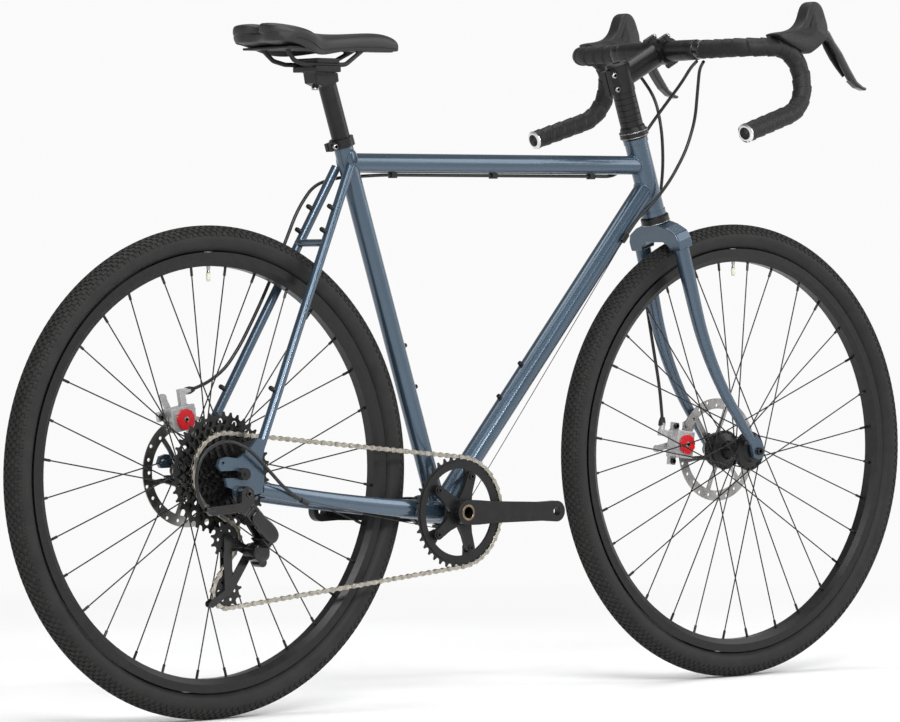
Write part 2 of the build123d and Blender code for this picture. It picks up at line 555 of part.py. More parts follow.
def stem_and_spacers():
    """Stem with its faceplate and bolts, and the spacers and cap on the steerer."""
    bar_centre = Vector(BAR_X, 0, BAR_Z)
    low, high = on_head(STEM_LOW), on_head(STEM_LOW + STEM_HEIGHT)
    hub = on_head(STEM_LOW + STEM_HEIGHT / 2)
    bar_bore = rod(bar_centre - LEFT * 40, bar_centre + LEFT * 40, BAR_CLAMP + 0.03)
    forward = (bar_centre - hub).normalized()
    body = rod(low, high, 18.5) + rod(hub, bar_centre, 17.0)
    body += rod(bar_centre - LEFT * 22, bar_centre + LEFT * 22, 20.5)
    clamp_back = Plane(origin=hub - HEAD_FRONT * 20, x_dir=HEAD_FRONT, z_dir=LEFT)
    slit = clamp_back * Box(16, STEM_HEIGHT + 4, 2)
    body += clamp_back * Box(14, STEM_HEIGHT - 4, 22)
    body = cut(body, rod(low - HEAD_DIR * 5, high + HEAD_DIR * 5, STEERER + 0.02), bar_bore, slit)
    pinch_bolts = []
    for height in (-11, 11):
        place = hub - HEAD_FRONT * 22 + HEAD_DIR * height
        body -= rod(place - LEFT * 12, place + LEFT * 12, 2.55)
        pinch = rod(place - LEFT * 11.05, place + LEFT * 10, 2.5)
        pinch_bolts.append(pinch + rod(place - LEFT * 15, place - LEFT * 11.05, 4.2))
    split = Plane(origin=bar_centre + forward * 30.6, x_dir=LEFT, z_dir=forward) * Box(60, 60, 60)
    rear = largest(body - split)
    cap_cut = Plane(origin=bar_centre + forward * 31.6, x_dir=LEFT, z_dir=forward) * Box(60, 60, 60)
    lug_up = forward.cross(LEFT) * -1
    cap = body
    bolts = []
    for across in (-15, 15):
        for height in (-20, 20):
            place = bar_centre + LEFT * across + lug_up * height
            rear += rod(place - forward * 9, place + forward * 0.6, 5.0)
            cap += rod(place + forward * 1.6, place + forward * 10, 5.0)
            bolts.append(place)
    cap = largest(cut(cap & cap_cut, bar_bore))
    shanks = []
    for place in bolts:
        hole = rod(place - forward * 9.1, place + forward * 11, 2.55)
        rear, cap = rear - hole, cap - hole
        head_at = place + forward * 10.03
        shanks.append(rod(place - forward * 9, head_at, 2.5) + rod(head_at, head_at + forward * 4, 4.2))
    rear = cut(rear, bar_bore)
    save("stem", rear, cap, *shanks, *pinch_bolts)
    cone = [(STEERER + 0.02, 0), (20.5, 0), (19, 6), (17.6, 8), (STEERER + 0.02, 8)]
    pieces = [turned(cone, on_head(HEAD_HIGH + 12.05), HEAD_DIR)]
    start = HEAD_HIGH + 20.1
    height = (STEM_LOW - start) / 6
    spacer = [(STEERER + 0.02, 0), (17.0, 0), (17.5, 0.5), (17.5, height - 0.6), (17.0, height - 0.05),
              (STEERER + 0.02, height - 0.05)]
    for i in range(6):
        pieces.append(turned(spacer, on_head(start + i * height), HEAD_DIR))
    cap_base = on_head(STEM_LOW + STEM_HEIGHT + 0.02)
    cap_outline = [(0, 0), (18, 0), (18, 2.5), (15.5, 4.6), (6, 4.6), (6, 2.4), (0, 2.4)]
    pieces.append(turned(cap_outline, cap_base, HEAD_DIR))
    save("headset_spacers", *pieces)


def lever_pin(half, radius):
    """Round bar across the left lever at its pivot."""
    x, z = LEVER_PIVOT
    return rod((x, HOOD_Y - half, z), (x, HOOD_Y + half, z), radius)


def lever_units(tape_core):
    """Brake lever hoods on the bar, the two brake levers and the shift paddle."""
    outline = [(387, 984), (400, 988), (425, 990), (445, 996), (457, 1008), (462, 1024), (470, 1035),
               (480, 1038), (492, 1034), (502, 1022), (507, 1008), (508, 996), (500, 984), (485, 972),
               (470, 962), (455, 954)]
    hood = side_plate(outline, HOOD_Y - HOOD_HALF, HOOD_Y + HOOD_HALF)
    mouth = side_plate([(478, 1003), (515, 1008), (515, 960), (478, 960)], HOOD_Y - 7.5, HOOD_Y + 7.5)
    hood = largest(cut(hood, tape_core, mouth))
    pin = lever_pin(HOOD_HALF, 2.5)
    hood = cut(hood, lever_pin(HOOD_HALF + 4, 2.52))
    save("lever_hood_left", hood, pin)
    save("lever_hood_right", mirrored(hood), mirrored(pin))
    blade_outline = [(484, 996), (497, 999), (508, 992), (519, 977), (534, 961), (551, 937), (566, 918),
                     (579, 910), (587, 908), (584, 903.5), (568, 908), (552, 919), (536, 938), (523, 957),
                     (509, 975), (498, 981), (486, 982)]
    blade = side_plate(blade_outline, HOOD_Y - 7.0, HOOD_Y + 7.0)
    blade = cut(blade, lever_pin(9, 2.5 + RUN_GAP))
    save("brake_lever_left", blade)
    recess_outline = [(500, 991), (530, 991), (562, 942), (558, 918), (540, 918), (500, 958)]
    recess = side_plate(recess_outline, PADDLE_OUT - 0.8, PADDLE_OUT + 20)
    lever = mirrored(blade) - recess
    pivot = PADDLE_PIVOT
    for x in (500.2, 509.9):
        low_y = PADDLE_OUT - 2
        lever += Pos(x + 1.3, (low_y + PADDLE_OUT + 3.4) / 2, pivot.Z) * Box(2.6, 5.4, 5)
    pin_ends = [(x, pivot.Y, pivot.Z) for x in (500.2, 512.5)]
    lever = cut(lever, rod(*pin_ends, PADDLE_PIN + 0.02))
    save("brake_lever_right", lever, rod(*pin_ends, PADDLE_PIN))
    paddle_outline = [(503.1, 983), (509.3, 983), (509.5, 979), (524, 966), (540, 959), (550, 940), (552, 929),
                      (546, 924), (531, 938), (519, 951), (507, 967), (503.1, 975)]
    paddle = side_plate(paddle_outline, PADDLE_OUT, PADDLE_OUT + 3.0)
    paddle += rod((503.1, pivot.Y, pivot.Z), (509.3, pivot.Y, pivot.Z), 2.0)
    paddle -= rod((500, pivot.Y, pivot.Z), (513, pivot.Y, pivot.Z), PADDLE_PIN + RUN_GAP)
    save("shift_paddle", paddle)


# ---------------------------------------------------------------- disc brakes
FRONT_CALIPER_TURN = 172.0   # degrees from straight ahead, up over the axle
REAR_CALIPER_TURN = 100.0
KNOB = 15.0
ARM_REACH = 33.0
BRACKET_IN, BRACKET_OUT = 6.0, 12.0     # faces of the brackets, measured from their rotor


def caliper(centre, rotor_y, turn):
    """Mechanical caliper: body with pads, arm with its pin, and the round pad knob."""
    out = Vector(cos(radians(turn)), 0, sin(radians(turn)))
    along = Vector(-out.Z, 0, out.X)
    middle = centre + LEFT * rotor_y + out * 76

    def block(low_out, high_out, half_along, low_y, high_y, shift=0.0):
        place = middle + out * ((low_out + high_out) / 2) + LEFT * ((low_y + high_y) / 2) + along * shift
        size = (high_out - low_out, 2 * half_along, high_y - low_y)
        return Plane(origin=place, x_dir=out, z_dir=LEFT) * Box(*size)

    body = block(-16, 18, 21, -12.0, 12.5) + block(2, 16, 33, 6.0, 12.0)
    body = cut(body, block(-20, 7, 30, -1.6, 1.6), block(-17, 5, 13.5, -5.5, 5.5))
    body += rod(middle + LEFT * 12, middle + LEFT * 16, 14.0)
    body += block(16, 41, 5, 3.5, 12.0, shift=-14)
    body += rod(middle + out * 36 - along * 12 + LEFT * 8, middle + out * 36 - along * 30 + LEFT * 8, 4.6)
    body = cut(body, rod(middle - LEFT * 14, middle + LEFT * 18, 5.05))
    pads = [block(-15, 4, 12.5, 1.25, 5.3), block(-15, 4, 12.5, -5.3, -1.25)]
    pads = [cut(pads[0], rod(middle + LEFT * 5.25, middle + LEFT * 6, 5.05)), pads[1]]
    pivot = middle + LEFT * 16.3
    arm = rod(pivot, pivot + LEFT * 5, 9.0) + rod(middle + LEFT * 5.5, pivot + LEFT * 5, 5.0)
    tip = pivot + out * ARM_REACH + along * 11
    side = (tip - pivot).normalized()
    bar_place = (pivot + tip) * 0.5 + LEFT * 2.5
    arm += Plane(origin=bar_place, x_dir=side, z_dir=LEFT) * Box((tip - pivot).length, 9, 4)
    arm += rod(tip, tip + LEFT * 5, 5.5)
    knob_start = middle - LEFT * 12.3
    knob = rod(knob_start - LEFT * 3.6, knob_start, KNOB) + rod(knob_start, middle - LEFT * 5.6, 5.0)
    for i in range(12):
        angle = radians(30.0 * i)
        place = knob_start + (out * cos(angle) + along * sin(angle)) * (KNOB + 0.7)
        knob -= rod(place - LEFT * 5, place + LEFT * 0.5, 1.6)
    return body, pads, arm, knob


def brakes(blade_core):
    """Front and rear calipers, each with a bracket to the fork or frame."""
    body, pads, arm, knob = caliper(FRONT_AXLE, FRONT_ROTOR_Y, FRONT_CALIPER_TURN)
    corners = [(-62, 44), (-48, 50), (-30, 64), (-24, 58), (-38, 40), (-50, 22), (-62, 28)]
    bracket = side_plate(corners, FRONT_ROTOR_Y + BRACKET_IN, FRONT_ROTOR_Y + BRACKET_OUT, FRONT_AXLE)
    save("front_caliper", body + largest(bracket - blade_core), *pads)
    save("front_caliper_arm", arm)
    save("front_pad_knob", knob)
    body, pads, arm, knob = caliper(REAR_AXLE, REAR_ROTOR_Y, REAR_CALIPER_TURN)
    corners = [(4, 67), (19, 60), (28, 32), (36, 24), (34, 12), (14, 26), (7, 44)]
    bracket = side_plate(corners, REAR_ROTOR_Y + BRACKET_IN, REAR_ROTOR_Y + BRACKET_OUT, REAR_AXLE)
    save("rear_caliper", body + bracket, *pads)
    save("rear_caliper_arm", arm)
    save("rear_pad_knob", knob)


# ---------------------------------------------------------------- seat
SADDLE_SECTIONS = ((-163, 9, 970, 953), (-185, 17, 977, 948), (-225, 21, 981, 945), (-275, 27, 980, 943),
                   (-318, 38, 979, 942), (-355, 55, 982, 944), (-385, 67, 987, 948), (-410, 68, 990, 955),
                   (-424, 60, 990, 960), (-431, 48, 986, 965))
SHELL_TOP = 957.0
CRADLE = Vector(-311.0, 0, 933.0)       # middle of the rail clamp
RAIL = 3.5


def seat_post():
    """Seat post, its two-part rail clamp and the clamp bolt."""
    post = rod(on_seat(POST_HIGH - POST_LENGTH), on_seat(POST_HIGH), POST_OUTER, POST_OUTER - 2.2)
    head_outline = [(-326, 922), (-323, 906), (-307, 900.5), (-281, 909), (-283, 922)]
    head = side_plate(head_outline, -14.0, 14.0) + rod(on_seat(POST_HIGH - 10), on_seat(POST_HIGH), POST_OUTER - 1)
    lower = Pos(CRADLE.X, 0, CRADLE.Z - 6.5) * Box(46, 54, 9)
    upper = Pos(CRADLE.X, 0, CRADLE.Z + 5.5) * Box(42, 54, 7)
    rails = [rod((CRADLE.X - 40, side * 22, CRADLE.Z), (CRADLE.X + 40, side * 22, CRADLE.Z), RAIL + 0.03)
             for side in SIDES]
    bolt_x = CRADLE.X - 4
    hole = rod((bolt_x, 0, 890), (bolt_x, 0, CRADLE.Z + 9), 3.05)
    bolt = rod((bolt_x, 0, 902.4), (bolt_x, 0, CRADLE.Z + 8.9), 3.0) + rod((bolt_x, 0, 897.0), (bolt_x, 0, 902.4), 4.6)
    seat_face = rod((bolt_x, 0, 890), (bolt_x, 0, 902.5), 5.2)
    head = cut(post + head + lower, hole, seat_face, *rails)
    save("seatpost", head, cut(upper, hole, *rails), bolt)


def saddle():
    """Saddle shell on its two rails, and the padded top whose skirt hangs round the shell."""
    sections = []
    for x, half_width, top, bottom in SADDLE_SECTIONS:
        plane = Plane(origin=(x, 0, (top + bottom) / 2), x_dir=(0, 1, 0), z_dir=(-1, 0, 0))
        height = top - bottom
        sections.append(plane * RectangleRounded(2 * half_width, height, 0.46 * min(height, 2 * half_width)))
    right_edge = [(-172, 5), (-190, 11), (-225, 15), (-275, 20), (-318, 31), (-355, 47), (-385, 57), (-404, 55)]
    edge = right_edge + [(x, -y) for x, y in reversed(right_edge)]
    shell = Pos(0, 0, SHELL_TOP - 3.5) * extrude(Polygon(*edge, align=None), amount=3.5, dir=(0, 0, 1))
    hollow = [(x, y * (1 + 0.4 / abs(y))) for x, y in edge]
    hollow = Pos(0, 0, SHELL_TOP - 50) * extrude(Polygon(*hollow, align=None), amount=50.02, dir=(0, 0, 1))
    tail_notch = Pos(-438, 0, 975) * Cylinder(22, 60)
    save("saddle_pad", largest(cut(loft(sections), hollow, tail_notch)))
    rail_route = ((-392, 30, 958), (-372, 24, 938), (-352, 22, 933), (-276, 22, 933), (-232, 10, 957))
    rail = bent_tube(rail_route, [10, 14, 22], RAIL)
    shell = cut(shell, rail, mirrored(rail))
    rail = rail - Pos(0, 0, SHELL_TOP + 50) * Box(1200, 200, 100)
    save("saddle_base", shell, rail, mirrored(rail))


# ---------------------------------------------------------------- chain line
COG_YS = [BIG_COG_Y - COG_PITCH * i for i in range(len(COG_TEETH))]
USED_COG = 3                # the chain sits on this cog, counted from the biggest
CHAIN_Y = COG_YS[USED_COG]
UPPER_PULLEY = Vector(-510.0, CHAIN_Y, 257.5)
LOWER_PULLEY = Vector(-509.5, CHAIN_Y, 184.0)
ROLLER = 3.85
SEAT_GAP = 0.35             # room between a roller and the gap it sits in


def pitch_radius(teeth):
    """Radius of the circle through the chain's pins on a sprocket."""
    return CHAIN_PITCH / (2 * sin(pi / teeth))


def chain_route():
    """Runs and arcs of the chain, each with its length in pitches."""
    wheels_on_route = [(Vector(BB.X, -CHAINLINE, BB.Z), RING_TEETH, 1),
                       (Vector(REAR_AXLE.X, CHAIN_Y, REAR_AXLE.Z), COG_TEETH[USED_COG], 1),
                       (UPPER_PULLEY, PULLEY_TEETH, -1), (LOWER_PULLEY, PULLEY_TEETH, 1)]
    count = len(wheels_on_route)
    runs = []
    for i in range(count):
        one, teeth_one, turn_one = wheels_on_route[i]
        two, teeth_two, turn_two = wheels_on_route[(i + 1) % count]
        r_one, r_two = pitch_radius(teeth_one), pitch_radius(teeth_two)
        apart = hypot(two.X - one.X, two.Z - one.Z)
        heading = atan2(two.Z - one.Z, two.X - one.X) - asin((turn_two * r_two - turn_one * r_one) / apart)
        normal = Vector(-sin(heading), 0, cos(heading))
        runs.append((one - normal * (turn_one * r_one), two - normal * (turn_two * r_two)))
    pieces = []
    for i in range(count):
        centre, teeth, turn = wheels_on_route[i]
        arrive = runs[i - 1][1] - centre
        leave = runs[i][0] - centre
        first, last = atan2(arrive.Z, arrive.X), atan2(leave.Z, leave.X)
        sweep_angle = (turn * (last - first)) % (2 * pi)
        pieces.append(("arc", centre, pitch_radius(teeth), first, turn, sweep_angle * teeth / (2 * pi), teeth))
        start, end = runs[i]
        pieces.append(("run", start, end, hypot(end.X - start.X, end.Z - start.Z) / CHAIN_PITCH))
    return pieces


def pitches_in(piece):
    """How many pitches of chain lie on one piece of the route."""
    return piece[5] if piece[0] == "arc" else piece[3]


def pin_places(pieces):
    """Position of every chain pin, and the angle of one tooth gap on each sprocket."""
    total = sum(pitches_in(piece) for piece in pieces)
    links = round(total)
    stretch = total / links
    places, gaps, done = [], [], 0.0
    for piece in pieces:
        amount = pitches_in(piece)
        first = ceil(done / stretch - 1e-9)
        while first * stretch < done + amount - 1e-9 and first < links:
            part = first * stretch - done
            if piece[0] == "arc":
                _, centre, radius, start_angle, turn, _, teeth = piece
                angle = start_angle + turn * part * 2 * pi / teeth
                places.append(centre + Vector(cos(angle), 0, sin(angle)) * radius)
                if len(gaps) < len(pieces) and (not gaps or gaps[-1][0] is not centre):
                    gaps.append((centre, angle))
            else:
                _, start, end, run_pitches = piece
                places.append(start + (end - start) * (part / run_pitches))
            first += 1
        done += amount
    return places, [angle for _, angle in gaps]


def sprocket(centre, teeth, y, half, bore, gap_angle):
    """Toothed wheel whose gaps seat the chain rollers."""
    radius = pitch_radius(teeth)
    step = 2 * pi / teeth
    corners = []
    for i in range(teeth):
        angle = gap_angle + i * step
        seat = Vector(cos(angle), 0, sin(angle)) * radius
        for turn in (-75, -40, 0, 40, 75):
            inward = angle + pi - radians(turn)
            point = seat + Vector(cos(inward), 0, sin(inward)) * (ROLLER + SEAT_GAP)
            corners.append((point.X, point.Z))
        for share, reach in ((0.40, 2.2), (0.60, 2.2)):
            tip = angle + share * step
            corners.append(((radius + reach) * cos(tip), (radius + reach) * sin(tip)))
    wheel = side_plate(corners, y - half, y + half, centre)
    return wheel - ring(centre, y - half - 1, y + half + 1, bore)


def chain(places):
    """Roller chain: alternate outer and inner links, each a solid of its own."""
    def link(plate_in, plate_out, pin_radius, pin_in):
        body = None
        for side in SIDES:
            low, high = sorted((side * plate_in, side * plate_out))
            plate = Pos(CHAIN_PITCH / 2, (low + high) / 2, 0) * Box(CHAIN_PITCH - 1, high - low, 4.6)
            for x in (0, CHAIN_PITCH):
                plate += rod((x, low, 0), (x, high, 0), 3.9)
            body = plate if body is None else body + plate
        for x in (0, CHAIN_PITCH):
            body += rod((x, -pin_in, 0), (x, pin_in, 0), pin_radius)
        return body

    inner = link(1.2, 1.9, ROLLER, 1.2)
    for x in (0, CHAIN_PITCH):
        inner -= rod((x, -3, 0), (x, 3, 0), 1.85)
    outer = link(2.0, 2.65, 1.8, 2.0)
    links = []
    for i, start in enumerate(places):
        end = places[(i + 1) % len(places)]
        plane = Plane(origin=start, x_dir=end - start, z_dir=(end - start).cross(LEFT))
        links.append(plane * (inner if i % 2 else outer))
    return links


def cassette(gap_angle):
    """Freehub body, eleven cogs with spacers between them, and the lock ring."""
    pieces = [ring(REAR_AXLE, -62.9, -21.4, 17.0, AXLE_OUTER + RUN_GAP)]
    pieces.append(ring(REAR_AXLE, -64.8, -63.4, 15.5, 9.5))
    for i, (teeth, y) in enumerate(zip(COG_TEETH, COG_YS)):
        cog = sprocket(REAR_AXLE, teeth, y, 0.8, 17.02, gap_angle if i == USED_COG else pi / 2 + 0.13 * i)
        if i < 3:
            hole = ring(REAR_AXLE + Vector(0, 0, pitch_radius(teeth) - 12), y - 1, y + 1, 4.6)
            cog = cut(cog, *around(hole, REAR_AXLE, 18 - 2 * i, 5.0 * i))
            inner_at = REAR_AXLE + UP * (pitch_radius(teeth) - 25 + 3 * i)
            inner = ring(inner_at, y - 1, y + 1, 4.8 - 0.5 * i)
            cog = cut(cog, *around(inner, REAR_AXLE, 12, 15.0))
        pieces.append(cog)
        if i < len(COG_TEETH) - 1:
            pieces.append(ring(REAR_AXLE, y - COG_PITCH + 0.82, y - 0.82, 20.0, 17.02))
    return pieces


# ---------------------------------------------------------------- cranks
RING_OUT = -(CHAINLINE + 2.0)
BOLT_CIRCLE = 55.0
ARM_IN, ARM_OUT = 57.0, 70.0
PEDAL_HOLE = 6.7


def crank_direction(side):
    """Unit vector from the spindle to the pedal on one side."""
    dip = radians(-CRANK_DIP)
    forward = -side
    return Vector(forward * cos(dip), 0, forward * sin(dip))


def crank_arm(side):
    """Tapered crank arm with its boss and threaded pedal hole."""
    ahead = crank_direction(side)
    across = Vector(-ahead.Z, 0, ahead.X)
    end = BB + ahead * CRANK_LENGTH
    corners = []
    lower = []
    for along, half in ((0, 18.5), (22, 18.0), (50, 16.0), (CRANK_LENGTH - 30, 14.0), (CRANK_LENGTH, 15.5)):
        corners.append(ahead * along + across * half)
        lower.append(ahead * along - across * half)
    outline = [(point.X, point.Z) for point in corners + lower[::-1]]
    low, high = sorted((side * ARM_IN, side * ARM_OUT))
    arm = side_plate(outline, low, high, BB) + ring(end, low, high, 15.5) + ring(BB, low, high, 18.5)
    arm = cut(arm, ring(end, low - 1, high + 1, PEDAL_HOLE))
    return arm


def cranks(gap_angle):
    """Right crank with spider and spindle, left crank, and the bolted chainring."""
    chainring_y = -CHAINLINE
    toothed = sprocket(BB, RING_TEETH, chainring_y, 0.8, 66.0, gap_angle)
    body = toothed + ring(BB, chainring_y - 2.0, chainring_y + 1.6, 74.5, 64.0)
    bolts, tabs, arms = [], [], []
    first = crank_direction(-1)
    for i in range(5):
        angle = atan2(first.Z, first.X) + 2 * pi * i / 5
        out = Vector(cos(angle), 0, sin(angle))
        side = Vector(-out.Z, 0, out.X)
        bolt_at = BB + out * BOLT_CIRCLE
        tabs.append(ring(bolt_at, chainring_y - 2.0, chainring_y + 1.6, 8.0))
        web = [out * 55 + side * 8, out * 66 + side * 12, out * 66 - side * 12, out * 55 - side * 8]
        web = [(point.X, point.Z) for point in web]
        tabs.append(side_plate(web, chainring_y - 2.0, chainring_y + 1.6, BB))
        arm = [out * 14 + side * 13, out * 34 + side * 8.5, out * 55 + side * 7.5, out * 55 - side * 7.5,
               out * 34 - side * 8.5, out * 14 - side * 13]
        arm = side_plate([(point.X, point.Z) for point in arm], RING_OUT - 7.4, RING_OUT - 0.05, BB)
        arms.append(arm + ring(bolt_at, RING_OUT - 7.4, RING_OUT - 0.05, 7.5))
        bolt_end = RING_OUT - (9.0 if i else 7.0)
        bolts.append(ring(bolt_at, bolt_end, chainring_y + 1.6, 4.6, 2.2))
    for tab in tabs:
        body += tab
    holes = [ring(bolt.center(), -70, -40, 4.62) for bolt in bolts]
    body = cut(body, *holes)
    save("chainring", body, *bolts)
    spider = ring(BB, RING_OUT - 7.6, -CUP_FACE - 0.4, 21.0)
    for arm in arms:
        spider += arm
    spindle = ring(BB, -ARM_OUT - 0.5, ARM_IN, SPINDLE, 9.6)
    right = crank_arm(-1) + cut(spider, *holes) - ring(BB, -ARM_OUT - 1, ARM_IN + 1, SPINDLE + 0.02)
    save("crank_right", right, spindle)
    left = crank_arm(1) + ring(BB, CUP_FACE + 0.4, ARM_IN, 16.5)
    left = cut(left, ring(BB, 40, ARM_OUT - 6, SPINDLE + 0.02), ring(BB, 40, 80, 7.0))
    save("crank_left", left)


# ---------------------------------------------------------------- rear derailleur
LINK_FALL = 47.0            # the links run forward and down at this angle
LINK_LENGTH = 38.0
LINK_IN = 10.3              # at rest the links point this many degrees towards the wheel
LINK_ROOT = Vector(-496.0, -77.2, 290.0)
LINK_HALF_GAP = 9.0
CAGE_PIVOT = Vector(-472.0, -52.0, 238.0)
CAGE_TAB = LOWER_PULLEY + Vector(-29, 0, -17)
LINK_D = Vector(cos(radians(LINK_FALL)), 0, -sin(radians(LINK_FALL)))
LINK_P = Vector(sin(radians(LINK_FALL)), 0, cos(radians(LINK_FALL)))
PLATE_GAP = 3.6
PLATE = 1.6


def block(centre, size_d, size_y, size_p):
    """Box in the derailleur's frame: along the links, across, and along their pins."""
    return Plane(origin=centre, x_dir=LINK_D, z_dir=LINK_P) * Box(size_d, size_y, size_p)


def link_end(centre, way):
    """Clevis that carries one end of both links, with its two pins."""
    body = block(centre + LINK_D * (way * 10.5), 8.0, 27.0, 22.4)
    for side in SIDES:
        body += block(centre + LINK_D * (way * 4.5) + LINK_P * (side * 9.8), 18.0, 27.0, 2.8)
        pin_at = centre + LEFT * (side * LINK_HALF_GAP)
        body += rod(pin_at - LINK_P * 9, pin_at + LINK_P * 9, 2.0)
    return body


def bar_plate(one, two, half_width, y_low, y_high):
    """Flat bar with round ends between two side-view points."""
    ahead = Vector(two.X - one.X, 0, two.Z - one.Z).normalized()
    side = Vector(-ahead.Z, 0, ahead.X) * half_width
    corners = [one + side, two + side, two - side, one - side]
    bar = side_plate([(point.X, point.Z) for point in corners], y_low, y_high)
    return bar + ring(one, y_low, y_high, half_width) + ring(two, y_low, y_high, half_width)


def derailleur(upper_gap, lower_gap):
    """Hanger knuckle, two links, cage knuckle with damper, cage plates and both pulleys."""
    reach = LINK_D * (LINK_LENGTH * cos(radians(LINK_IN))) + LEFT * (LINK_LENGTH * sin(radians(LINK_IN)))
    far = LINK_ROOT + reach
    knuckle = link_end(LINK_ROOT, -1)
    knuckle += bar_plate(HANGER, Vector(-508, 0, 301), 11.0, -87.0, -74.2)
    knuckle += bar_plate(Vector(-512, 0, 305), Vector(-570, 0, 301), 6.5, -87.0, -79.0)
    knuckle += rod((HANGER.X, -90.5, HANGER.Z), (HANGER.X, -64.5, HANGER.Z), 4.9)
    knuckle = cut(knuckle, rod((HANGER.X, -91, HANGER.Z), (HANGER.X, -82, HANGER.Z), 2.6))
    stop = Vector(-575, -83, 303)
    knuckle += rod(stop - Vector(6, 0, -1), stop + Vector(8, 0, -1), 4.4)
    knuckle = cut(knuckle, rod(stop - Vector(7, 0, -1.2), stop - Vector(-2, 0, 0.3), 2.55))
    save("derailleur_body", knuckle)
    for side, node in zip(SIDES, ("derailleur_outer_link", "derailleur_inner_link")):
        start = LINK_ROOT + LEFT * (side * LINK_HALF_GAP)
        end = start + reach
        link = rod(start - LINK_P * 8, start + LINK_P * 8, 4.2) + rod(end - LINK_P * 8, end + LINK_P * 8, 4.2)
        link += Plane(origin=(start + end) * 0.5, x_dir=reach, z_dir=LINK_P) * Box(LINK_LENGTH, 5.0, 15.6)
        for place in (start, end):
            link -= rod(place - LINK_P * 9, place + LINK_P * 9, 2.05)
        save(node, link)
    body = link_end(far, 1)
    body += ring(CAGE_PIVOT, -70.0, CHAIN_Y - PLATE_GAP - PLATE - 0.4, 13.0)
    body += ring(CAGE_PIVOT + Vector(4, 0, -14), -68.0, -50.0, 7.0)
    save("derailleur_knuckle", body)
    cage = []
    for side in SIDES:
        low, high = sorted((CHAIN_Y + side * PLATE_GAP, CHAIN_Y + side * (PLATE_GAP + PLATE)))
        plate = bar_plate(UPPER_PULLEY, LOWER_PULLEY, 7.0, low, high)
        if side < 0:
            plate += bar_plate(CAGE_PIVOT, LOWER_PULLEY, 7.0, low, high)
            plate += bar_plate(CAGE_PIVOT, UPPER_PULLEY, 7.0, low, high)
            plate += ring(CAGE_PIVOT, low, high, 11.0)
        plate += bar_plate(LOWER_PULLEY, CAGE_TAB, 5.0, low, high)
        cage.append(plate)
    body = cage[0] + cage[1]
    for centre in (UPPER_PULLEY, LOWER_PULLEY):
        body += ring(centre, CHAIN_Y - PLATE_GAP - 0.5, CHAIN_Y + PLATE_GAP + 0.5, 2.5)
    body += ring(CAGE_TAB, CHAIN_Y - PLATE_GAP - 0.5, CHAIN_Y + PLATE_GAP + 0.5, 1.8)
    save("derailleur_cage", body)
    pulleys = (("upper_pulley", UPPER_PULLEY, upper_gap), ("lower_pulley", LOWER_PULLEY, lower_gap))
    for node, centre, gap in pulleys:
        wheel = sprocket(centre, PULLEY_TEETH, CHAIN_Y, 0.75, 2.5 + RUN_GAP, gap)
        wheel += ring(centre, CHAIN_Y - 3.3, CHAIN_Y + 3.3, 8.0, 2.5 + RUN_GAP)
        hole = ring(centre + UP * 14, CHAIN_Y - 1, CHAIN_Y + 1, 2.4)
        save(node, cut(wheel, *around(hole, centre, 6, 30)))


# ---------------------------------------------------------------- cable housings
STOP_FRONT = Vector(270.6, -20.5, 686.9)
GUIDE_FRONT = Vector(222.5, 0, TOP_TUBE_HEIGHT - HOUSING_DROP)
CROSSING = Vector(224.0, 0.3, GUIDE_FRONT.Z)
SHIFT_ROUTE = ((368, -88, 948.3), (380, -66, 938), (396, -44, 905), (400, -34, 862), (384, -31, 815),
               (352, -30.5, 770), (322, -28, 738), (292, -22, 711.5), STOP_FRONT)
REAR_BRAKE_FRONT = ((352, -90, 948.3), (362, -66, 940), (374, -32, 918), (372, 0, 888), (356, 22, 852),
                    (330, 28.5, 815), (300, 24, 785), (266, 8, 774.9), CROSSING)
REAR_BRAKE_BACK = (GUIDE_FRONT, (-190, 0, GUIDE_FRONT.Z), (-222, 10, 773), (-254, 29, 771), (-292, 34, 760),
                   (-322, 34, 724), (-346, 37, 670), (-378, 45, 596), (-412, 54, 530), (-438, 58, 495),
                   (-470, 60, 475.5), (-499.3, 60, 466.6))
FRONT_BRAKE = ((362, 88, 948.3), (374, 64, 934), (384, 38, 896), (386, 26, 846), (390, 28, 790),
               (391, 38, 736), (382, 62, 700), (377, 68, 640), (386, 64, 580), (393, 56, 510), (399, 49, 450),
               (403.2, 47.5, 397.2))
SHELL_GROOVE = Vector(BB.X, -14, BB.Z - SHELL_OUTER - 4)
STAY_STOP = (Vector(-392, -73.5, 304.5), Vector(-404, -74, 310))
DERAILLEUR_LOOP = (STAY_STOP[1], (-436, -78, 328), (-470, -84, 356), (-508, -88, 388), (-550, -90, 402),
                   (-590, -90, 384), (-603, -89, 350), (-594, -86, 318), (-584, -83.4, 306.6))
WIRE = 0.6


def housings():
    """Every brake and shift housing along its clipped route, and the bare wire under the shell."""
    save("control_housings", cable(SHIFT_ROUTE), cable(REAR_BRAKE_FRONT))
    save("front_brake_housing", cable(FRONT_BRAKE))
    stop = rod(*STAY_STOP, 4.0)
    down_dir = (on_head(DOWN_TUBE_MEETS) - BB).normalized()
    down_up = Vector(-down_dir.Z, 0, down_dir.X)
    wire_top = BB + down_dir * (DOWN_STOP_ALONG - 7.4) - LEFT * 20.5 - down_up * 4
    wires = [rod(wire_top, SHELL_GROOVE + Vector(18, 0, 0), WIRE),
             rod(SHELL_GROOVE + Vector(17, 0, 0), SHELL_GROOVE - Vector(13, 0, 0), WIRE),
             rod(SHELL_GROOVE - Vector(14, 0, 0), STAY_STOP[0] + Vector(0.4, 0, 0), WIRE)]
    save("rear_housings", cable(REAR_BRAKE_BACK), cable(DERAILLEUR_LOOP), stop, *wires)


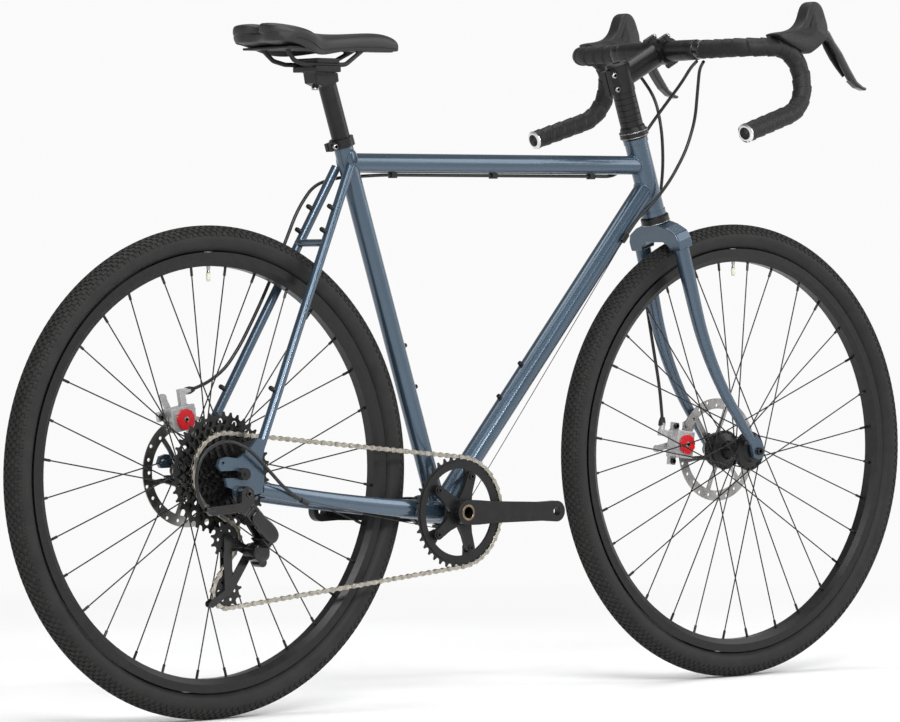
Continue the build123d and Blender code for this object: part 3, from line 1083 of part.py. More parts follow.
route = chain_route()
pins, tooth_gaps = pin_places(route)
frame_tubes()
rear_triangle()
frame_fittings()
bearings_and_collar()
wheels()
axles()
blade_core = fork()
stem_and_spacers()
lever_units(handlebar())
brakes(blade_core)
seat_post()
saddle()
save("chain", *chain(pins))
save("cassette", *cassette(tooth_gaps[1]))
cranks(tooth_gaps[0])
derailleur(tooth_gaps[2], tooth_gaps[3])
housings()
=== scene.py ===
import json
import math
from math import cos, pi, radians, sin

import bpy
import numpy as np
from mathutils import Matrix, Vector


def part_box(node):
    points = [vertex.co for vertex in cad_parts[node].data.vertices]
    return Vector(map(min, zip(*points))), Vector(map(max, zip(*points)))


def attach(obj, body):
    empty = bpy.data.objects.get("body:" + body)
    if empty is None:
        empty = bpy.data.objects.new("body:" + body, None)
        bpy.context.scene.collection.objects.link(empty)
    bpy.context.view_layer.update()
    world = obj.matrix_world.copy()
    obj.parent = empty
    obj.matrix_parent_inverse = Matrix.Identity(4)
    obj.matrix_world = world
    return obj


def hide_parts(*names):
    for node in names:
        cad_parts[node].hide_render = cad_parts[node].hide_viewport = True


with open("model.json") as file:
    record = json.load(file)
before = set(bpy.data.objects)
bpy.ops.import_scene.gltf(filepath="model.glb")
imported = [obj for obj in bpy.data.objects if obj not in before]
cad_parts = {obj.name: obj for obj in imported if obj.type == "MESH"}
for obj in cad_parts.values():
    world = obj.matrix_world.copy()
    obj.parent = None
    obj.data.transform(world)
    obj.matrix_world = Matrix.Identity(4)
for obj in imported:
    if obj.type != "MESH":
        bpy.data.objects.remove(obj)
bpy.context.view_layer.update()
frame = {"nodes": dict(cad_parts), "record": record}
NODES = frame["nodes"]
MM = 0.001


# ---------------------------------------------------------------- places read from the frame
def joint(name):
    return next(j for j in frame["record"]["behaviour"]["joints"] if j["name"] == name)


FRONT_AXLE = Vector(joint("front_wheel_spin")["pos_m"])
REAR_AXLE = Vector(joint("rear_wheel_spin")["pos_m"])
BB = Vector(joint("crank_spin")["pos_m"])
UPPER = Vector(joint("upper_pulley_spin")["pos_m"])
LOWER = Vector(joint("lower_pulley_spin")["pos_m"])
HEAD_FOOT = Vector(joint("steering")["pos_m"])
HEAD_DIR = Vector(joint("steering")["axis"])
HEAD_FRONT = Vector((HEAD_DIR.z, 0, -HEAD_DIR.x))
SEAT_DIR = Vector(joint("seatpost_height")["axis"])
TYRE_RADIUS = (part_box("front_tyre")[1].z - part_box("front_tyre")[0].z) / 2
TYRE_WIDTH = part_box("front_tyre")[1].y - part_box("front_tyre")[0].y
LEFT = Vector((0, 1, 0))


# ---------------------------------------------------------------- materials
def material(name, color, rough=0.5, metal=0.0, vary=0.12, scale=60.0, bump=0.1, bump_scale=400.0,
             rough_vary=0.12, coat=0.0, spec=0.5, flake=0.0):
    """Surface with uneven colour, uneven gloss and a fine grain, all in the piece's own coordinates."""
    made = bpy.data.materials.new(name)
    made.use_nodes = True
    tree = made.node_tree
    shader = tree.nodes["Principled BSDF"]
    shader.inputs["Metallic"].default_value = metal
    shader.inputs["Coat Weight"].default_value = coat
    shader.inputs["Coat Roughness"].default_value = 0.12
    shader.inputs["Specular IOR Level"].default_value = spec
    place = tree.nodes.new("ShaderNodeTexCoord")
    cloud = tree.nodes.new("ShaderNodeTexNoise")
    cloud.inputs["Scale"].default_value = scale
    cloud.inputs["Detail"].default_value = 4.0
    tree.links.new(place.outputs["Object"], cloud.inputs["Vector"])
    ramp = tree.nodes.new("ShaderNodeValToRGB")
    dark = [max(0.0, c * (1 - vary)) for c in color]
    light = [min(1.0, c * (1 + vary)) for c in color]
    ramp.color_ramp.elements[0].position = 0.32
    ramp.color_ramp.elements[1].position = 0.68
    ramp.color_ramp.elements[0].color = (*dark, 1)
    ramp.color_ramp.elements[1].color = (*light, 1)
    tree.links.new(cloud.outputs["Fac"], ramp.inputs["Fac"])
    color_out = ramp.outputs["Color"]
    if flake:
        fleck = tree.nodes.new("ShaderNodeTexNoise")
        fleck.inputs["Scale"].default_value = 2600.0
        fleck.inputs["Detail"].default_value = 1.0
        tree.links.new(place.outputs["Object"], fleck.inputs["Vector"])
        lift = tree.nodes.new("ShaderNodeMapRange")
        lift.inputs["From Min"].default_value = 0.35
        lift.inputs["From Max"].default_value = 0.65
        lift.inputs["To Min"].default_value = 1.0 - flake
        lift.inputs["To Max"].default_value = 1.0 + flake
        tree.links.new(fleck.outputs["Fac"], lift.inputs["Value"])
        mix = tree.nodes.new("ShaderNodeVectorMath")
        mix.operation = "SCALE"
        tree.links.new(ramp.outputs["Color"], mix.inputs[0])
        tree.links.new(lift.outputs["Result"], mix.inputs["Scale"])
        color_out = mix.outputs["Vector"]
    tree.links.new(color_out, shader.inputs["Base Color"])
    gloss = tree.nodes.new("ShaderNodeMapRange")
    gloss.inputs["To Min"].default_value = max(0.03, rough * (1 - rough_vary))
    gloss.inputs["To Max"].default_value = min(1.0, rough * (1 + rough_vary))
    tree.links.new(cloud.outputs["Fac"], gloss.inputs["Value"])
    tree.links.new(gloss.outputs["Result"], shader.inputs["Roughness"])
    grain = tree.nodes.new("ShaderNodeTexNoise")
    grain.inputs["Scale"].default_value = bump_scale
    grain.inputs["Detail"].default_value = 3.0
    tree.links.new(place.outputs["Object"], grain.inputs["Vector"])
    raised = tree.nodes.new("ShaderNodeBump")
    raised.inputs["Strength"].default_value = bump
    raised.inputs["Distance"].default_value = 0.0004
    tree.links.new(grain.outputs["Fac"], raised.inputs["Height"])
    tree.links.new(raised.outputs["Normal"], shader.inputs["Normal"])
    return made


def cells(made, scale, depth, strength=0.5):
    """Adds a raised pattern of small cells, as on moulded leather or a rubber grip."""
    tree = made.node_tree
    raised = next(n for n in tree.nodes if n.type == "BUMP")
    place = next(n for n in tree.nodes if n.type == "TEX_COORD")
    cell = tree.nodes.new("ShaderNodeTexVoronoi")
    cell.inputs["Scale"].default_value = scale
    tree.links.new(place.outputs["Object"], cell.inputs["Vector"])
    second = tree.nodes.new("ShaderNodeBump")
    second.inputs["Strength"].default_value = strength
    second.inputs["Distance"].default_value = depth
    tree.links.new(cell.outputs["Distance"], second.inputs["Height"])
    tree.links.new(raised.outputs["Normal"], second.inputs["Normal"])
    shader = tree.nodes["Principled BSDF"]
    tree.links.new(second.outputs["Normal"], shader.inputs["Normal"])
    return made


PAINT = material("paint_slate", (0.05, 0.081, 0.117), 0.25, 0.6, 0.05, 9.0, 0.02, 900.0, 0.1, 0.6, flake=0.22)
BLACK = material("black_anodised", (0.009, 0.009, 0.0095), 0.34, 0.3, 0.2, 80.0, 0.05, 900.0, spec=0.4)
BLACK_GLOSS = material("black_gloss", (0.008, 0.008, 0.0085), 0.2, 0.1, 0.2, 50.0, 0.02, 700.0, coat=0.25,
                       spec=0.4)
BLACK_MATTE = material("black_matte", (0.012, 0.012, 0.0125), 0.55, 0.0, 0.25, 120.0, 0.12, 900.0, spec=0.3)
BLACK_STEEL = material("black_steel", (0.018, 0.0175, 0.017), 0.24, 0.6, 0.25, 90.0, 0.04, 900.0)
STEEL = material("bright_steel", (0.36, 0.355, 0.345), 0.3, 1.0, 0.14, 70.0, 0.06, 1500.0)
ALLOY = material("silver_alloy", (0.4, 0.4, 0.4), 0.36, 0.5, 0.1, 60.0, 0.05, 900.0)
CHROME = material("chrome", (0.72, 0.72, 0.72), 0.1, 1.0, 0.05, 60.0, 0.02, 500.0)
BRONZE = material("dark_bronze", (0.2, 0.15, 0.1), 0.32, 1.0, 0.15, 90.0, 0.05, 900.0)
CHAIN = material("chain_nickel", (0.4, 0.375, 0.325), 0.3, 1.0, 0.3, 160.0, 0.05, 900.0)
RED = material("red_knob", (0.5, 0.008, 0.014), 0.3, 0.0, 0.1, 90.0, 0.04, 700.0, coat=0.2)
CASING = material("tyre_casing", (0.0105, 0.0103, 0.01), 0.6, 0.0, 0.3, 40.0, 0.25, 1400.0, spec=0.3)
TREAD = material("tyre_tread", (0.016, 0.0156, 0.015), 0.75, 0.0, 0.3, 70.0, 0.3, 1100.0, spec=0.25)
TAPE = cells(material("bar_tape", (0.007, 0.007, 0.0073), 0.55, 0.0, 0.25, 90.0, 0.3, 700.0, spec=0.35),
             750.0, 0.0003)
HOOD = cells(material("hood_rubber", (0.009, 0.009, 0.0095), 0.5, 0.0, 0.2, 70.0, 0.15, 900.0, spec=0.35),
             520.0, 0.0004)
SADDLE = cells(material("saddle_cover", (0.0125, 0.0125, 0.0128), 0.46, 0.0, 0.2, 30.0, 0.2, 1500.0,
                        spec=0.4), 1100.0, 0.00012, 0.4)
HOUSING = material("housing", (0.007, 0.007, 0.007), 0.36, 0.0, 0.2, 80.0, 0.08, 900.0, spec=0.4)
CAP = material("valve_cap", (0.62, 0.6, 0.5), 0.4, 0.0, 0.1, 90.0, 0.05, 900.0)

FINISH = {
    PAINT: ("head_tube", "top_tube", "down_tube", "seat_tube", "bottom_bracket_shell", "chainstays",
            "seatstays", "dropouts", "fork_crown", "fork_blades"),
    BLACK: ("headset_cups", "bottom_bracket_cups", "seat_collar", "stem", "handlebar", "seatpost",
            "front_hub", "rear_hub", "front_axle", "crank_left", "headset_spacers", "rear_axle",
            "front_rim", "rear_rim", "chainring", "crank_right"),
    BLACK_MATTE: ("upper_pulley", "lower_pulley", "saddle_base"),
    BLACK_GLOSS: ("derailleur_body", "derailleur_outer_link", "derailleur_inner_link", "derailleur_knuckle",
                  "derailleur_cage", "shift_paddle", "brake_lever_left", "brake_lever_right"),
    BLACK_STEEL: ("cassette", "front_spokes", "rear_spokes", "frame_bosses"),
    STEEL: ("front_rotor", "rear_rotor"),
    ALLOY: ("front_caliper", "rear_caliper", "front_caliper_arm", "rear_caliper_arm"),
    RED: ("front_pad_knob", "rear_pad_knob"),
    HOUSING: ("rear_housings", "control_housings", "front_brake_housing"),
    CHROME: ("bar_plugs",),
    HOOD: ("lever_hood_left", "lever_hood_right"),
    TAPE: ("bar_tape",), TREAD: ("front_tyre", "rear_tyre"), SADDLE: ("saddle_pad",), CHAIN: ("chain",),
}


def paint(obj, made):
    """Gives every slot of an object one material."""
    if not obj.material_slots:
        obj.data.materials.append(made)
    for i in range(len(obj.material_slots)):
        obj.material_slots[i].material = made


for finish, nodes in FINISH.items():
    for node in nodes:
        paint(NODES[node], finish)


# ---------------------------------------------------------------- mesh helpers
def piece(name, body, verts, faces, made, *replaced, smooth=True, slot=None, more=(), face_material=None):
    """New mesh object riding on a body, in place of the CAD nodes named."""
    mesh = bpy.data.meshes.new(name)
    mesh.from_pydata([tuple(v) for v in verts], [], [tuple(f) for f in faces])
    mesh.validate()
    mesh.update()
    obj = bpy.data.objects.new(name, mesh)
    bpy.context.collection.objects.link(obj)
    for each in (made, *more):
        mesh.materials.append(each)
    if face_material is not None:
        mesh.polygons.foreach_set("material_index", np.array(face_material, np.int32))
    mesh.polygons.foreach_set("use_smooth", [smooth] * len(mesh.polygons))
    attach(obj, body)
    if replaced:
        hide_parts(*replaced)
    return obj


class Soup:
    """Gathers vertices, faces and material numbers from many small shapes."""

    def __init__(self):
        self.verts, self.faces, self.mats = [], [], []

    def add(self, verts, faces, mat=0):
        start = len(self.verts)
        self.verts.extend(tuple(v) for v in verts)
        self.faces.extend(tuple(start + i for i in f) for f in faces)
        self.mats.extend([mat] * len(faces))


def loop_faces(rings, around, closed_ends=True, closed_loop=False):
    """Quads between successive rings of points."""
    faces = []
    last = rings if closed_loop else rings - 1
    for i in range(last):
        for j in range(around):
            k = (j + 1) % around
            a, b = i * around, ((i + 1) % rings) * around
            faces.append((a + j, a + k, b + k, b + j))
    if closed_ends and not closed_loop:
        faces.append(tuple(range(around))[::-1])
        faces.append(tuple((rings - 1) * around + j for j in range(around)))
    return faces


def lathe(profile, centre, steps):
    """Closed profile of (radius, y) turned about an axis along Y."""
    verts = []
    for i in range(steps):
        a = 2 * pi * i / steps
        for r, y in profile:
            verts.append((centre.x + r * sin(a), centre.y + y, centre.z + r * cos(a)))
    return verts, loop_faces(steps, len(profile), closed_loop=True)


def tube_along(points, radius, around=10, closed=False):
    """Tube round a line of points, its rings carried without twist."""
    points = [Vector(p) for p in points]
    count = len(points)
    verts = []
    normal = None
    for i in range(count):
        if closed:
            ahead = (points[(i + 1) % count] - points[i - 1]).normalized()
        else:
            ahead = (points[min(i + 1, count - 1)] - points[max(i - 1, 0)]).normalized()
        if normal is None:
            seed = Vector((0, 0, 1)) if abs(ahead.z) < 0.9 else Vector((1, 0, 0))
            normal = ahead.cross(seed).normalized()
        normal = (normal - ahead * normal.dot(ahead)).normalized()
        side = ahead.cross(normal)
        r = radius[i] if hasattr(radius, "__len__") else radius
        for j in range(around):
            a = 2 * pi * j / around
            verts.append(points[i] + normal * (r * cos(a)) + side * (r * sin(a)))
    return verts, loop_faces(count, around, closed_loop=closed)


# ---------------------------------------------------------------- tyres and valves
CASE_R = TYRE_WIDTH / 2 - 0.0020
RING_R = TYRE_RADIUS - TYRE_WIDTH / 2
KNOB_ROWS = ((0.0, 5.0, 7.2, 0.5), (15.5, 4.9, 6.8, 0.0), (31.0, 5.1, 6.6, 0.5), (46.5, 5.6, 6.4, 0.0),
             (63.0, 6.0, 5.6, 0.5))
PITCHES = 200


def tyre(node, centre, body):
    """Casing with ribbed sidewalls, rows of small tread blocks, and the tube's valve."""
    soup = Soup()
    profile = []
    for i in range(49):
        a = radians(-158 + 316 * i / 48)
        rib = 0.0005 if i in (5, 7, 41, 43) else 0.0
        r = CASE_R + rib + (0.0002 if abs(a) < radians(66) else 0.0)
        profile.append((RING_R + r * cos(a), r * sin(a)))
    for i in range(24, -25, -6):
        a = radians(158 * i / 24)
        r = CASE_R - 0.003
        profile.append((RING_R + r * cos(a), r * sin(a)))
    soup.add(*lathe(profile, centre, 168), 0)
    for row, (tilt, wide, long, shift) in enumerate(KNOB_ROWS):
        for side in ((1,) if tilt == 0 else (1, -1)):
            phi = radians(tilt * side)
            out_r = TYRE_WIDTH / 2 - (0.0 if tilt < 55 else 0.0002)
            for i in range(PITCHES):
                a = 2 * pi * (i + shift) / PITCHES
                skew = 0.1 * (1 if (i + row) % 2 else -1)
                verts = []
                for r, grow in ((CASE_R - 0.0006, 1.12), (out_r - 0.0004, 1.0), (out_r, 0.84)):
                    for u, v in ((-1, -1), (1, -1), (1, 1), (-1, 1)):
                        half_w = wide * MM / 2 * grow
                        half_l = long * MM / 2 * grow
                        p = phi + u * half_w / TYRE_WIDTH * 2
                        ring_r = RING_R + r * cos(p)
                        t = a + v * half_l / TYRE_RADIUS + skew * u * half_w / TYRE_RADIUS
                        verts.append((centre.x + ring_r * sin(t), r * sin(p), centre.z + ring_r * cos(t)))
                faces = [(8, 9, 10, 11)]
                for k in (0, 4):
                    for j in range(4):
                        n = (j + 1) % 4
                        faces.append((k + j, k + n, k + 4 + n, k + 4 + j))
                soup.add(verts, faces, 1)
    base = centre.z + RING_R - TYRE_WIDTH / 2
    stem = [(0.0, base + 0.001), (0.0029, base + 0.001), (0.0029, base - 0.02), (0.0024, base - 0.021),
            (0.0024, base - 0.026), (0.0033, base - 0.0265), (0.0036, base - 0.034),
            (0.0026, base - 0.0385), (0.0, base - 0.039)]
    for first, last, mat in ((0, 6, 2), (5, 9, 3)):
        rings = stem[first:last]
        verts = []
        for r, z in rings:
            wide = max(r, 1e-5)
            verts.extend((centre.x + wide * cos(2 * pi * j / 14), wide * sin(2 * pi * j / 14), z)
                         for j in range(14))
        soup.add(verts, loop_faces(len(rings), 14), mat)
    nut = [(0.003, base - 0.0135), (0.0062, base - 0.0135), (0.0062, base - 0.0165), (0.003, base - 0.0165)]
    verts = []
    for r, z in nut:
        verts.extend((centre.x + r * cos(2 * pi * j / 16), r * sin(2 * pi * j / 16), z) for j in range(16))
    soup.add(verts, loop_faces(len(nut), 16), 2)
    made = piece(node + "_tread", body, soup.verts, soup.faces, CASING, node, smooth=True, slot="tyre",
                 more=(TREAD, STEEL, CAP), face_material=soup.mats)
    flat = [m != 1 for m in soup.mats]
    made.data.polygons.foreach_set("use_smooth", flat)
    return made


tyre("front_tyre", FRONT_AXLE, "front_wheel")
tyre("rear_tyre", REAR_AXLE, "rear_wheel")


# ---------------------------------------------------------------- handlebar tape and plugs
BAR_X = 0.3595
BAR_Z = 0.9665
TAPE_START = 0.085
CORNERS = ((BAR_X, TAPE_START, BAR_Z), (BAR_X, 0.207, BAR_Z), (0.446, 0.211, BAR_Z), (0.446, 0.229, 0.876),
           (0.313, 0.240, 0.836))
ARCS = (0.042, 0.044, 0.056)


def rounded_line(corners, radii, step=0.0012):
    """Evenly spaced points along straight runs joined by arcs."""
    corners = [Vector(c) for c in corners]
    points = [corners[0]]
    for i, r in enumerate(radii, 1):
        back = (corners[i - 1] - corners[i]).normalized()
        ahead = (corners[i + 1] - corners[i]).normalized()
        half = back.angle(ahead) / 2
        reach = r / math.tan(half)
        centre = corners[i] + (back + ahead).normalized() * (r / sin(half))
        start, end = corners[i] + back * reach - centre, corners[i] + ahead * reach - centre
        turn = start.angle(end)
        axis = start.cross(end).normalized()
        for k in range(25):
            points.append(centre + Matrix.Rotation(turn * k / 24, 3, axis) @ start)
    points.append(corners[-1])
    lengths = np.cumsum([0] + [(b - a).length for a, b in zip(points, points[1:])])
    count = int(lengths[-1] / step)
    wanted = np.linspace(0, lengths[-1], count)
    coords = np.array([tuple(p) for p in points])
    return [Vector([np.interp(w, lengths, coords[:, k]) for k in range(3)]) for w in wanted], wanted


def wrapped_tape(side):
    """Tape wound round the bar with each turn lapping the one before it."""
    points, along = rounded_line([(x, side * y, z) for x, y, z in CORNERS], ARCS)
    around = 40
    verts = []
    normal = None
    for i, point in enumerate(points):
        ahead = (points[min(i + 1, len(points) - 1)] - points[max(i - 1, 0)]).normalized()
        if normal is None:
            normal = ahead.cross(Vector((0, 0, 1))).normalized()
        normal = (normal - ahead * normal.dot(ahead)).normalized()
        across = ahead.cross(normal)
        for j in range(around):
            a = 2 * pi * j / around
            lap = (along[i] / 0.0215 + side * j / around) % 1.0
            rise = 0.0133 + 0.0016 * ((1 - lap) ** 0.7 if lap > 0.06 else lap / 0.06)
            if along[i] < 0.014:
                rise = 0.0134 + 0.0002 * sin(lap * 2 * pi)
            rise += 0.0002 * sin(5 * a + along[i] * 700) * sin(along[i] * 330) - 0.0002
            verts.append(point + normal * (rise * cos(a)) + across * (rise * sin(a)))
    return verts, loop_faces(len(points), around)


for side, word in ((1, "left"), (-1, "right")):
    verts, faces = wrapped_tape(side)
    piece("tape_" + word, "fork", verts, faces, TAPE, *(("bar_tape",) if side > 0 else ()), slot="tape")
    band = [(BAR_X, side * y, BAR_Z) for y in (0.0852, 0.0858, 0.0868, 0.0935, 0.0985, 0.0995)]
    verts, faces = tube_along(band, [0.0132, 0.0141, 0.0145, 0.0143, 0.0146, 0.0138], 40)
    piece("tape_band_" + word, "fork", verts, faces, BLACK_GLOSS)
    end, before = Vector(CORNERS[-1]), Vector(CORNERS[-2])
    end.y, before.y = side * end.y, side * before.y
    out = (end - before).normalized()
    verts, faces = tube_along([end + out * d for d in (0.0030, 0.0043, 0.0047, 0.0042)],
                              [0.0098, 0.0094, 0.0078, 0.0062], 32)
    piece("plug_centre_" + word, "fork", verts, faces, BLACK_MATTE)


# ---------------------------------------------------------------- chain
TEETH = (40, 28, 12, 12)
COG_Y = UPPER.y
PITCH = 12.7 * MM
CHAINLINE = 0.0475
CENTRES = (Vector((BB.x, -CHAINLINE, BB.z)), Vector((REAR_AXLE.x, COG_Y, REAR_AXLE.z)), Vector(UPPER),
           Vector(LOWER))
TURNS = (1, 1, -1, 1)


def pitch_radius(teeth):
    return PITCH / (2 * sin(pi / teeth))


def chain_pins():
    """Every pin of the chain round its four sprockets, and which sprocket's wrap it is on."""
    runs = []
    for i in range(4):
        j = (i + 1) % 4
        one, two = CENTRES[i], CENTRES[j]
        r1, r2 = pitch_radius(TEETH[i]) * TURNS[i], pitch_radius(TEETH[j]) * TURNS[j]
        apart = math.hypot(two.x - one.x, two.z - one.z)
        heading = math.atan2(two.z - one.z, two.x - one.x) - math.asin((r2 - r1) / apart)
        normal = Vector((-sin(heading), 0, cos(heading)))
        runs.append((one - normal * r1, two - normal * r2))
    legs = []
    for i in range(4):
        arrive, leave = runs[i - 1][1] - CENTRES[i], runs[i][0] - CENTRES[i]
        first, last = math.atan2(arrive.z, arrive.x), math.atan2(leave.z, leave.x)
        sweep = (TURNS[i] * (last - first)) % (2 * pi)
        legs.append(("arc", i, first, sweep, sweep * TEETH[i] / (2 * pi)))
        start, end = runs[i]
        legs.append(("run", i, start, end, math.hypot(end.x - start.x, end.z - start.z) / PITCH))
    total = sum(leg[4] for leg in legs)
    links = round(total)
    stretch = total / links
    places, done = [], 0.0
    for leg in legs:
        n = math.ceil(done / stretch - 1e-9)
        while n * stretch < done + leg[4] - 1e-9 and n < links:
            part = n * stretch - done
            if leg[0] == "arc":
                i = leg[1]
                a = leg[2] + TURNS[i] * part * 2 * pi / TEETH[i]
                places.append((CENTRES[i] + Vector((cos(a), 0, sin(a))) * pitch_radius(TEETH[i]), "arc", i))
            else:
                places.append((leg[2] + (leg[3] - leg[2]) * (part / leg[4]), "run", leg[1]))
            n += 1
        done += leg[4]
    return places


def plate_ring(narrow):
    """Waisted outline of one chain plate, in its own plane."""
    outline = []
    for k in range(20):
        a = 2 * pi * k / 20
        x, z = cos(a), sin(a)
        end_x = 0.00635 if x > 0 else -0.00635
        if abs(x) > 0.32:
            outline.append((end_x + 0.0041 * x, 0.0041 * z))
        else:
            outline.append((0.0022 * x / 0.32, narrow * (1 if z > 0 else -1)))
    return outline


def chain_links(places, wanted):
    soup = Soup()
    count = len(places)
    for i, (start, _, _) in enumerate(places):
        if not wanted(i):
            continue
        end = places[(i + 1) % count][0]
        ahead = (end - start).normalized()
        up = ahead.cross(LEFT).normalized()
        across = up.cross(ahead)
        middle = (start + end) / 2
        inner = i % 2 == 1
        low, high = (0.0013, 0.0019) if inner else (0.00202, 0.00268)
        for side in (1, -1):
            outline = plate_ring(0.0023 if inner else 0.0025)
            rings = []
            for y, inset in ((low, 0.93), (low + 0.0001, 1.0), (high - 0.00015, 1.0), (high, 0.93)):
                rings.extend(middle + ahead * (x * (inset if abs(x) > 0.004 else 1)) + up * (z * inset)
                             + across * (side * y) for x, z in outline)
            soup.add(rings, loop_faces(4, len(outline)))
        for pin_at in ((start, end) if not inner else ()):
            half = 0.0031
            verts, faces = tube_along([pin_at - across * half, pin_at + across * half], 0.0018, 10)
            soup.add(verts, faces)
        if inner:
            for pin_at in (start, end):
                verts, faces = tube_along([pin_at - across * 0.0012, pin_at + across * 0.0012], 0.00383, 14)
                soup.add(verts, faces)
    return soup


PLACES = chain_pins()


def on_cage(i):
    """The wraps round the two pulleys and the run between them move with the cage."""
    _, kind, which = PLACES[i]
    return (kind == "arc" and which in (2, 3)) or (kind == "run" and which == 2)


fixed = chain_links(PLACES, lambda i: not on_cage(i))
made = piece("chain_runs", "frame", fixed.verts, fixed.faces, CHAIN, "chain", slot="chain_steel")
made.data.polygons.foreach_set("use_smooth", [False] * len(made.data.polygons))
moving = chain_links(PLACES, on_cage)
made = piece("chain_at_pulleys", "pulley_cage", moving.verts, moving.faces, CHAIN, slot="chain_steel")
made.data.polygons.foreach_set("use_smooth", [False] * len(made.data.polygons))


# ---------------------------------------------------------------- saddle
# x, half width, crown height, height of the widest line, lower edge of the skirt, channel depth
SADDLE_SECTIONS = (
    (-0.1635, 0.0030, 0.9625, 0.9605, 0.9590, 0.0),
    (-0.1650, 0.0085, 0.9670, 0.9610, 0.9565, 0.0),
    (-0.1705, 0.0135, 0.9722, 0.9620, 0.9545, 0.0),
    (-0.181, 0.0168, 0.9768, 0.9640, 0.9538, 0.0004),
    (-0.200, 0.0188, 0.9812, 0.9660, 0.9535, 0.0012),
    (-0.225, 0.0206, 0.9820, 0.9660, 0.9538, 0.002),
    (-0.250, 0.0228, 0.9808, 0.9650, 0.9535, 0.003),
    (-0.275, 0.0262, 0.9790, 0.9640, 0.9525, 0.0038),
    (-0.300, 0.0318, 0.9778, 0.9620, 0.9490, 0.0044),
    (-0.325, 0.0408, 0.9776, 0.9605, 0.9452, 0.005),
    (-0.348, 0.0520, 0.9800, 0.9615, 0.9446, 0.0055),
    (-0.370, 0.0615, 0.9842, 0.9650, 0.9475, 0.006),
    (-0.390, 0.0672, 0.9882, 0.9695, 0.9530, 0.0065),
    (-0.406, 0.0688, 0.9905, 0.9730, 0.9575, 0.0065),
    (-0.4175, 0.0682, 0.9908, 0.9748, 0.9602, 0.006),
    (-0.4247, 0.0668, 0.9902, 0.9755, 0.9615, 0.005),
)
# the skirt, as parts of the half width and of the drop from the widest line to the lower edge
SKIRT = ((0.995, 0.25), (0.975, 0.6), (0.945, 0.88), (0.905, 1.0), (0.865, 0.9), (0.84, 0.45))
# how far the rear face bulges, and how much of its height is left
TAIL_STEPS = ((0.0030, 0.98), (0.0052, 0.9), (0.0066, 0.74), (0.0073, 0.5), (0.0073, 0.2), (0.0070, 0.02))
TAIL_MIDDLE = 0.9755        # height of the line that the rear face closes on
CROWN_STEPS = 32
SHELL_LOW = 0.9545


def tail_line(y):
    """Rear edge of the saddle seen from above: two rounded lobes with a notch between them."""
    wide = max(0.0, abs(y) - 0.036) / 0.032
    return -0.4247 + 0.0165 * math.exp(-(y / 0.0115) ** 2) + 0.030 * wide ** 2


def saddle_point(x, y, z):
    """Stretches a section so that the rearmost ones follow the tail line."""
    along = (SADDLE_SECTIONS[0][0] - x) / (SADDLE_SECTIONS[0][0] - SADDLE_SECTIONS[-1][0])
    return SADDLE_SECTIONS[0][0] + along * (tail_line(y) - SADDLE_SECTIONS[0][0]), y, z


def saddle_section(half, top, edge, low, groove):
    """One cross-section: crown with a channel, flanks, skirt turned under, and the hollow's roof."""
    section = []
    for j in range(CROWN_STEPS + 1):
        a = pi * j / CROWN_STEPS
        c, s = cos(a), sin(a)
        y = half * (abs(c) ** 0.75) * (1 if c > 0 else -1)
        z = edge + (top - edge) * (s ** 0.8) - groove * math.exp(-(y / 0.0085) ** 2)
        section.append((y, z))
    inner = max(SHELL_LOW, low + 0.0012)
    lower = [(half * f, edge - (edge - low) * g) for f, g in SKIRT]
    lower += [(half * 0.8, inner), (half * 0.4, inner)]
    return section + [(-y, z) for y, z in lower] + [(0.0, inner)] + lower[::-1]


def zipped(verts, start, around):
    """Triangles that close a flattened ring, from its upper half to its lower half."""
    upper = list(range(start, start + CROWN_STEPS + 1))
    lower = [start] + list(range(start + around - 1, start + CROWN_STEPS, -1))
    faces, i, k = [], 0, 0
    while i < len(upper) - 1 or k < len(lower) - 1:
        next_up = verts[upper[i + 1]][1] if i < len(upper) - 1 else -1.0
        next_low = verts[lower[k + 1]][1] if k < len(lower) - 1 else -1.0
        if next_up >= next_low:
            corners = (upper[i], upper[i + 1], lower[k])
            i += 1
        else:
            corners = (upper[i], lower[k + 1], lower[k])
            k += 1
        if len(set(corners)) == 3:
            faces.append(corners)
    return faces


def saddle():
    """Padded saddle with its two edge seams."""
    verts, seams = [], {1: [], -1: []}
    for x, half, top, edge, low, groove in SADDLE_SECTIONS:
        verts.extend(saddle_point(x, y, z) for y, z in saddle_section(half, top, edge, low, groove))
        for side in seams:
            if x < -0.17:
                seams[side].append(saddle_point(x, side * half * 0.984, edge - (edge - low) * 0.5))
    x, half, top, edge, low, groove = SADDLE_SECTIONS[-1]
    last = saddle_section(half, top, edge, low, groove)
    for bulge, height in TAIL_STEPS:
        for y, z in last:
            px, py, _ = saddle_point(x, y, z)
            verts.append((px - bulge, py * (1 - 4 * bulge), TAIL_MIDDLE + (z - TAIL_MIDDLE) * height))
    around = len(last)
    faces = loop_faces(len(verts) // around, around, closed_ends=False)
    faces.append(tuple(range(around))[::-1])
    faces.extend(zipped(verts, len(verts) - around, around))
    made = piece("saddle_top", "seat", verts, faces, SADDLE, "saddle_pad", slot="saddle_cover")
    smooth = made.modifiers.new("soft", "SUBSURF")
    smooth.levels = smooth.render_levels = 2
    for side, word in ((1, "left"), (-1, "right")):
        verts, faces = tube_along(seams[side], 0.0010, 8)
        piping = piece("saddle_seam_" + word, "seat", verts, faces, BLACK_MATTE)
        smooth = piping.modifiers.new("soft", "SUBSURF")
        smooth.levels = smooth.render_levels = 2


saddle()


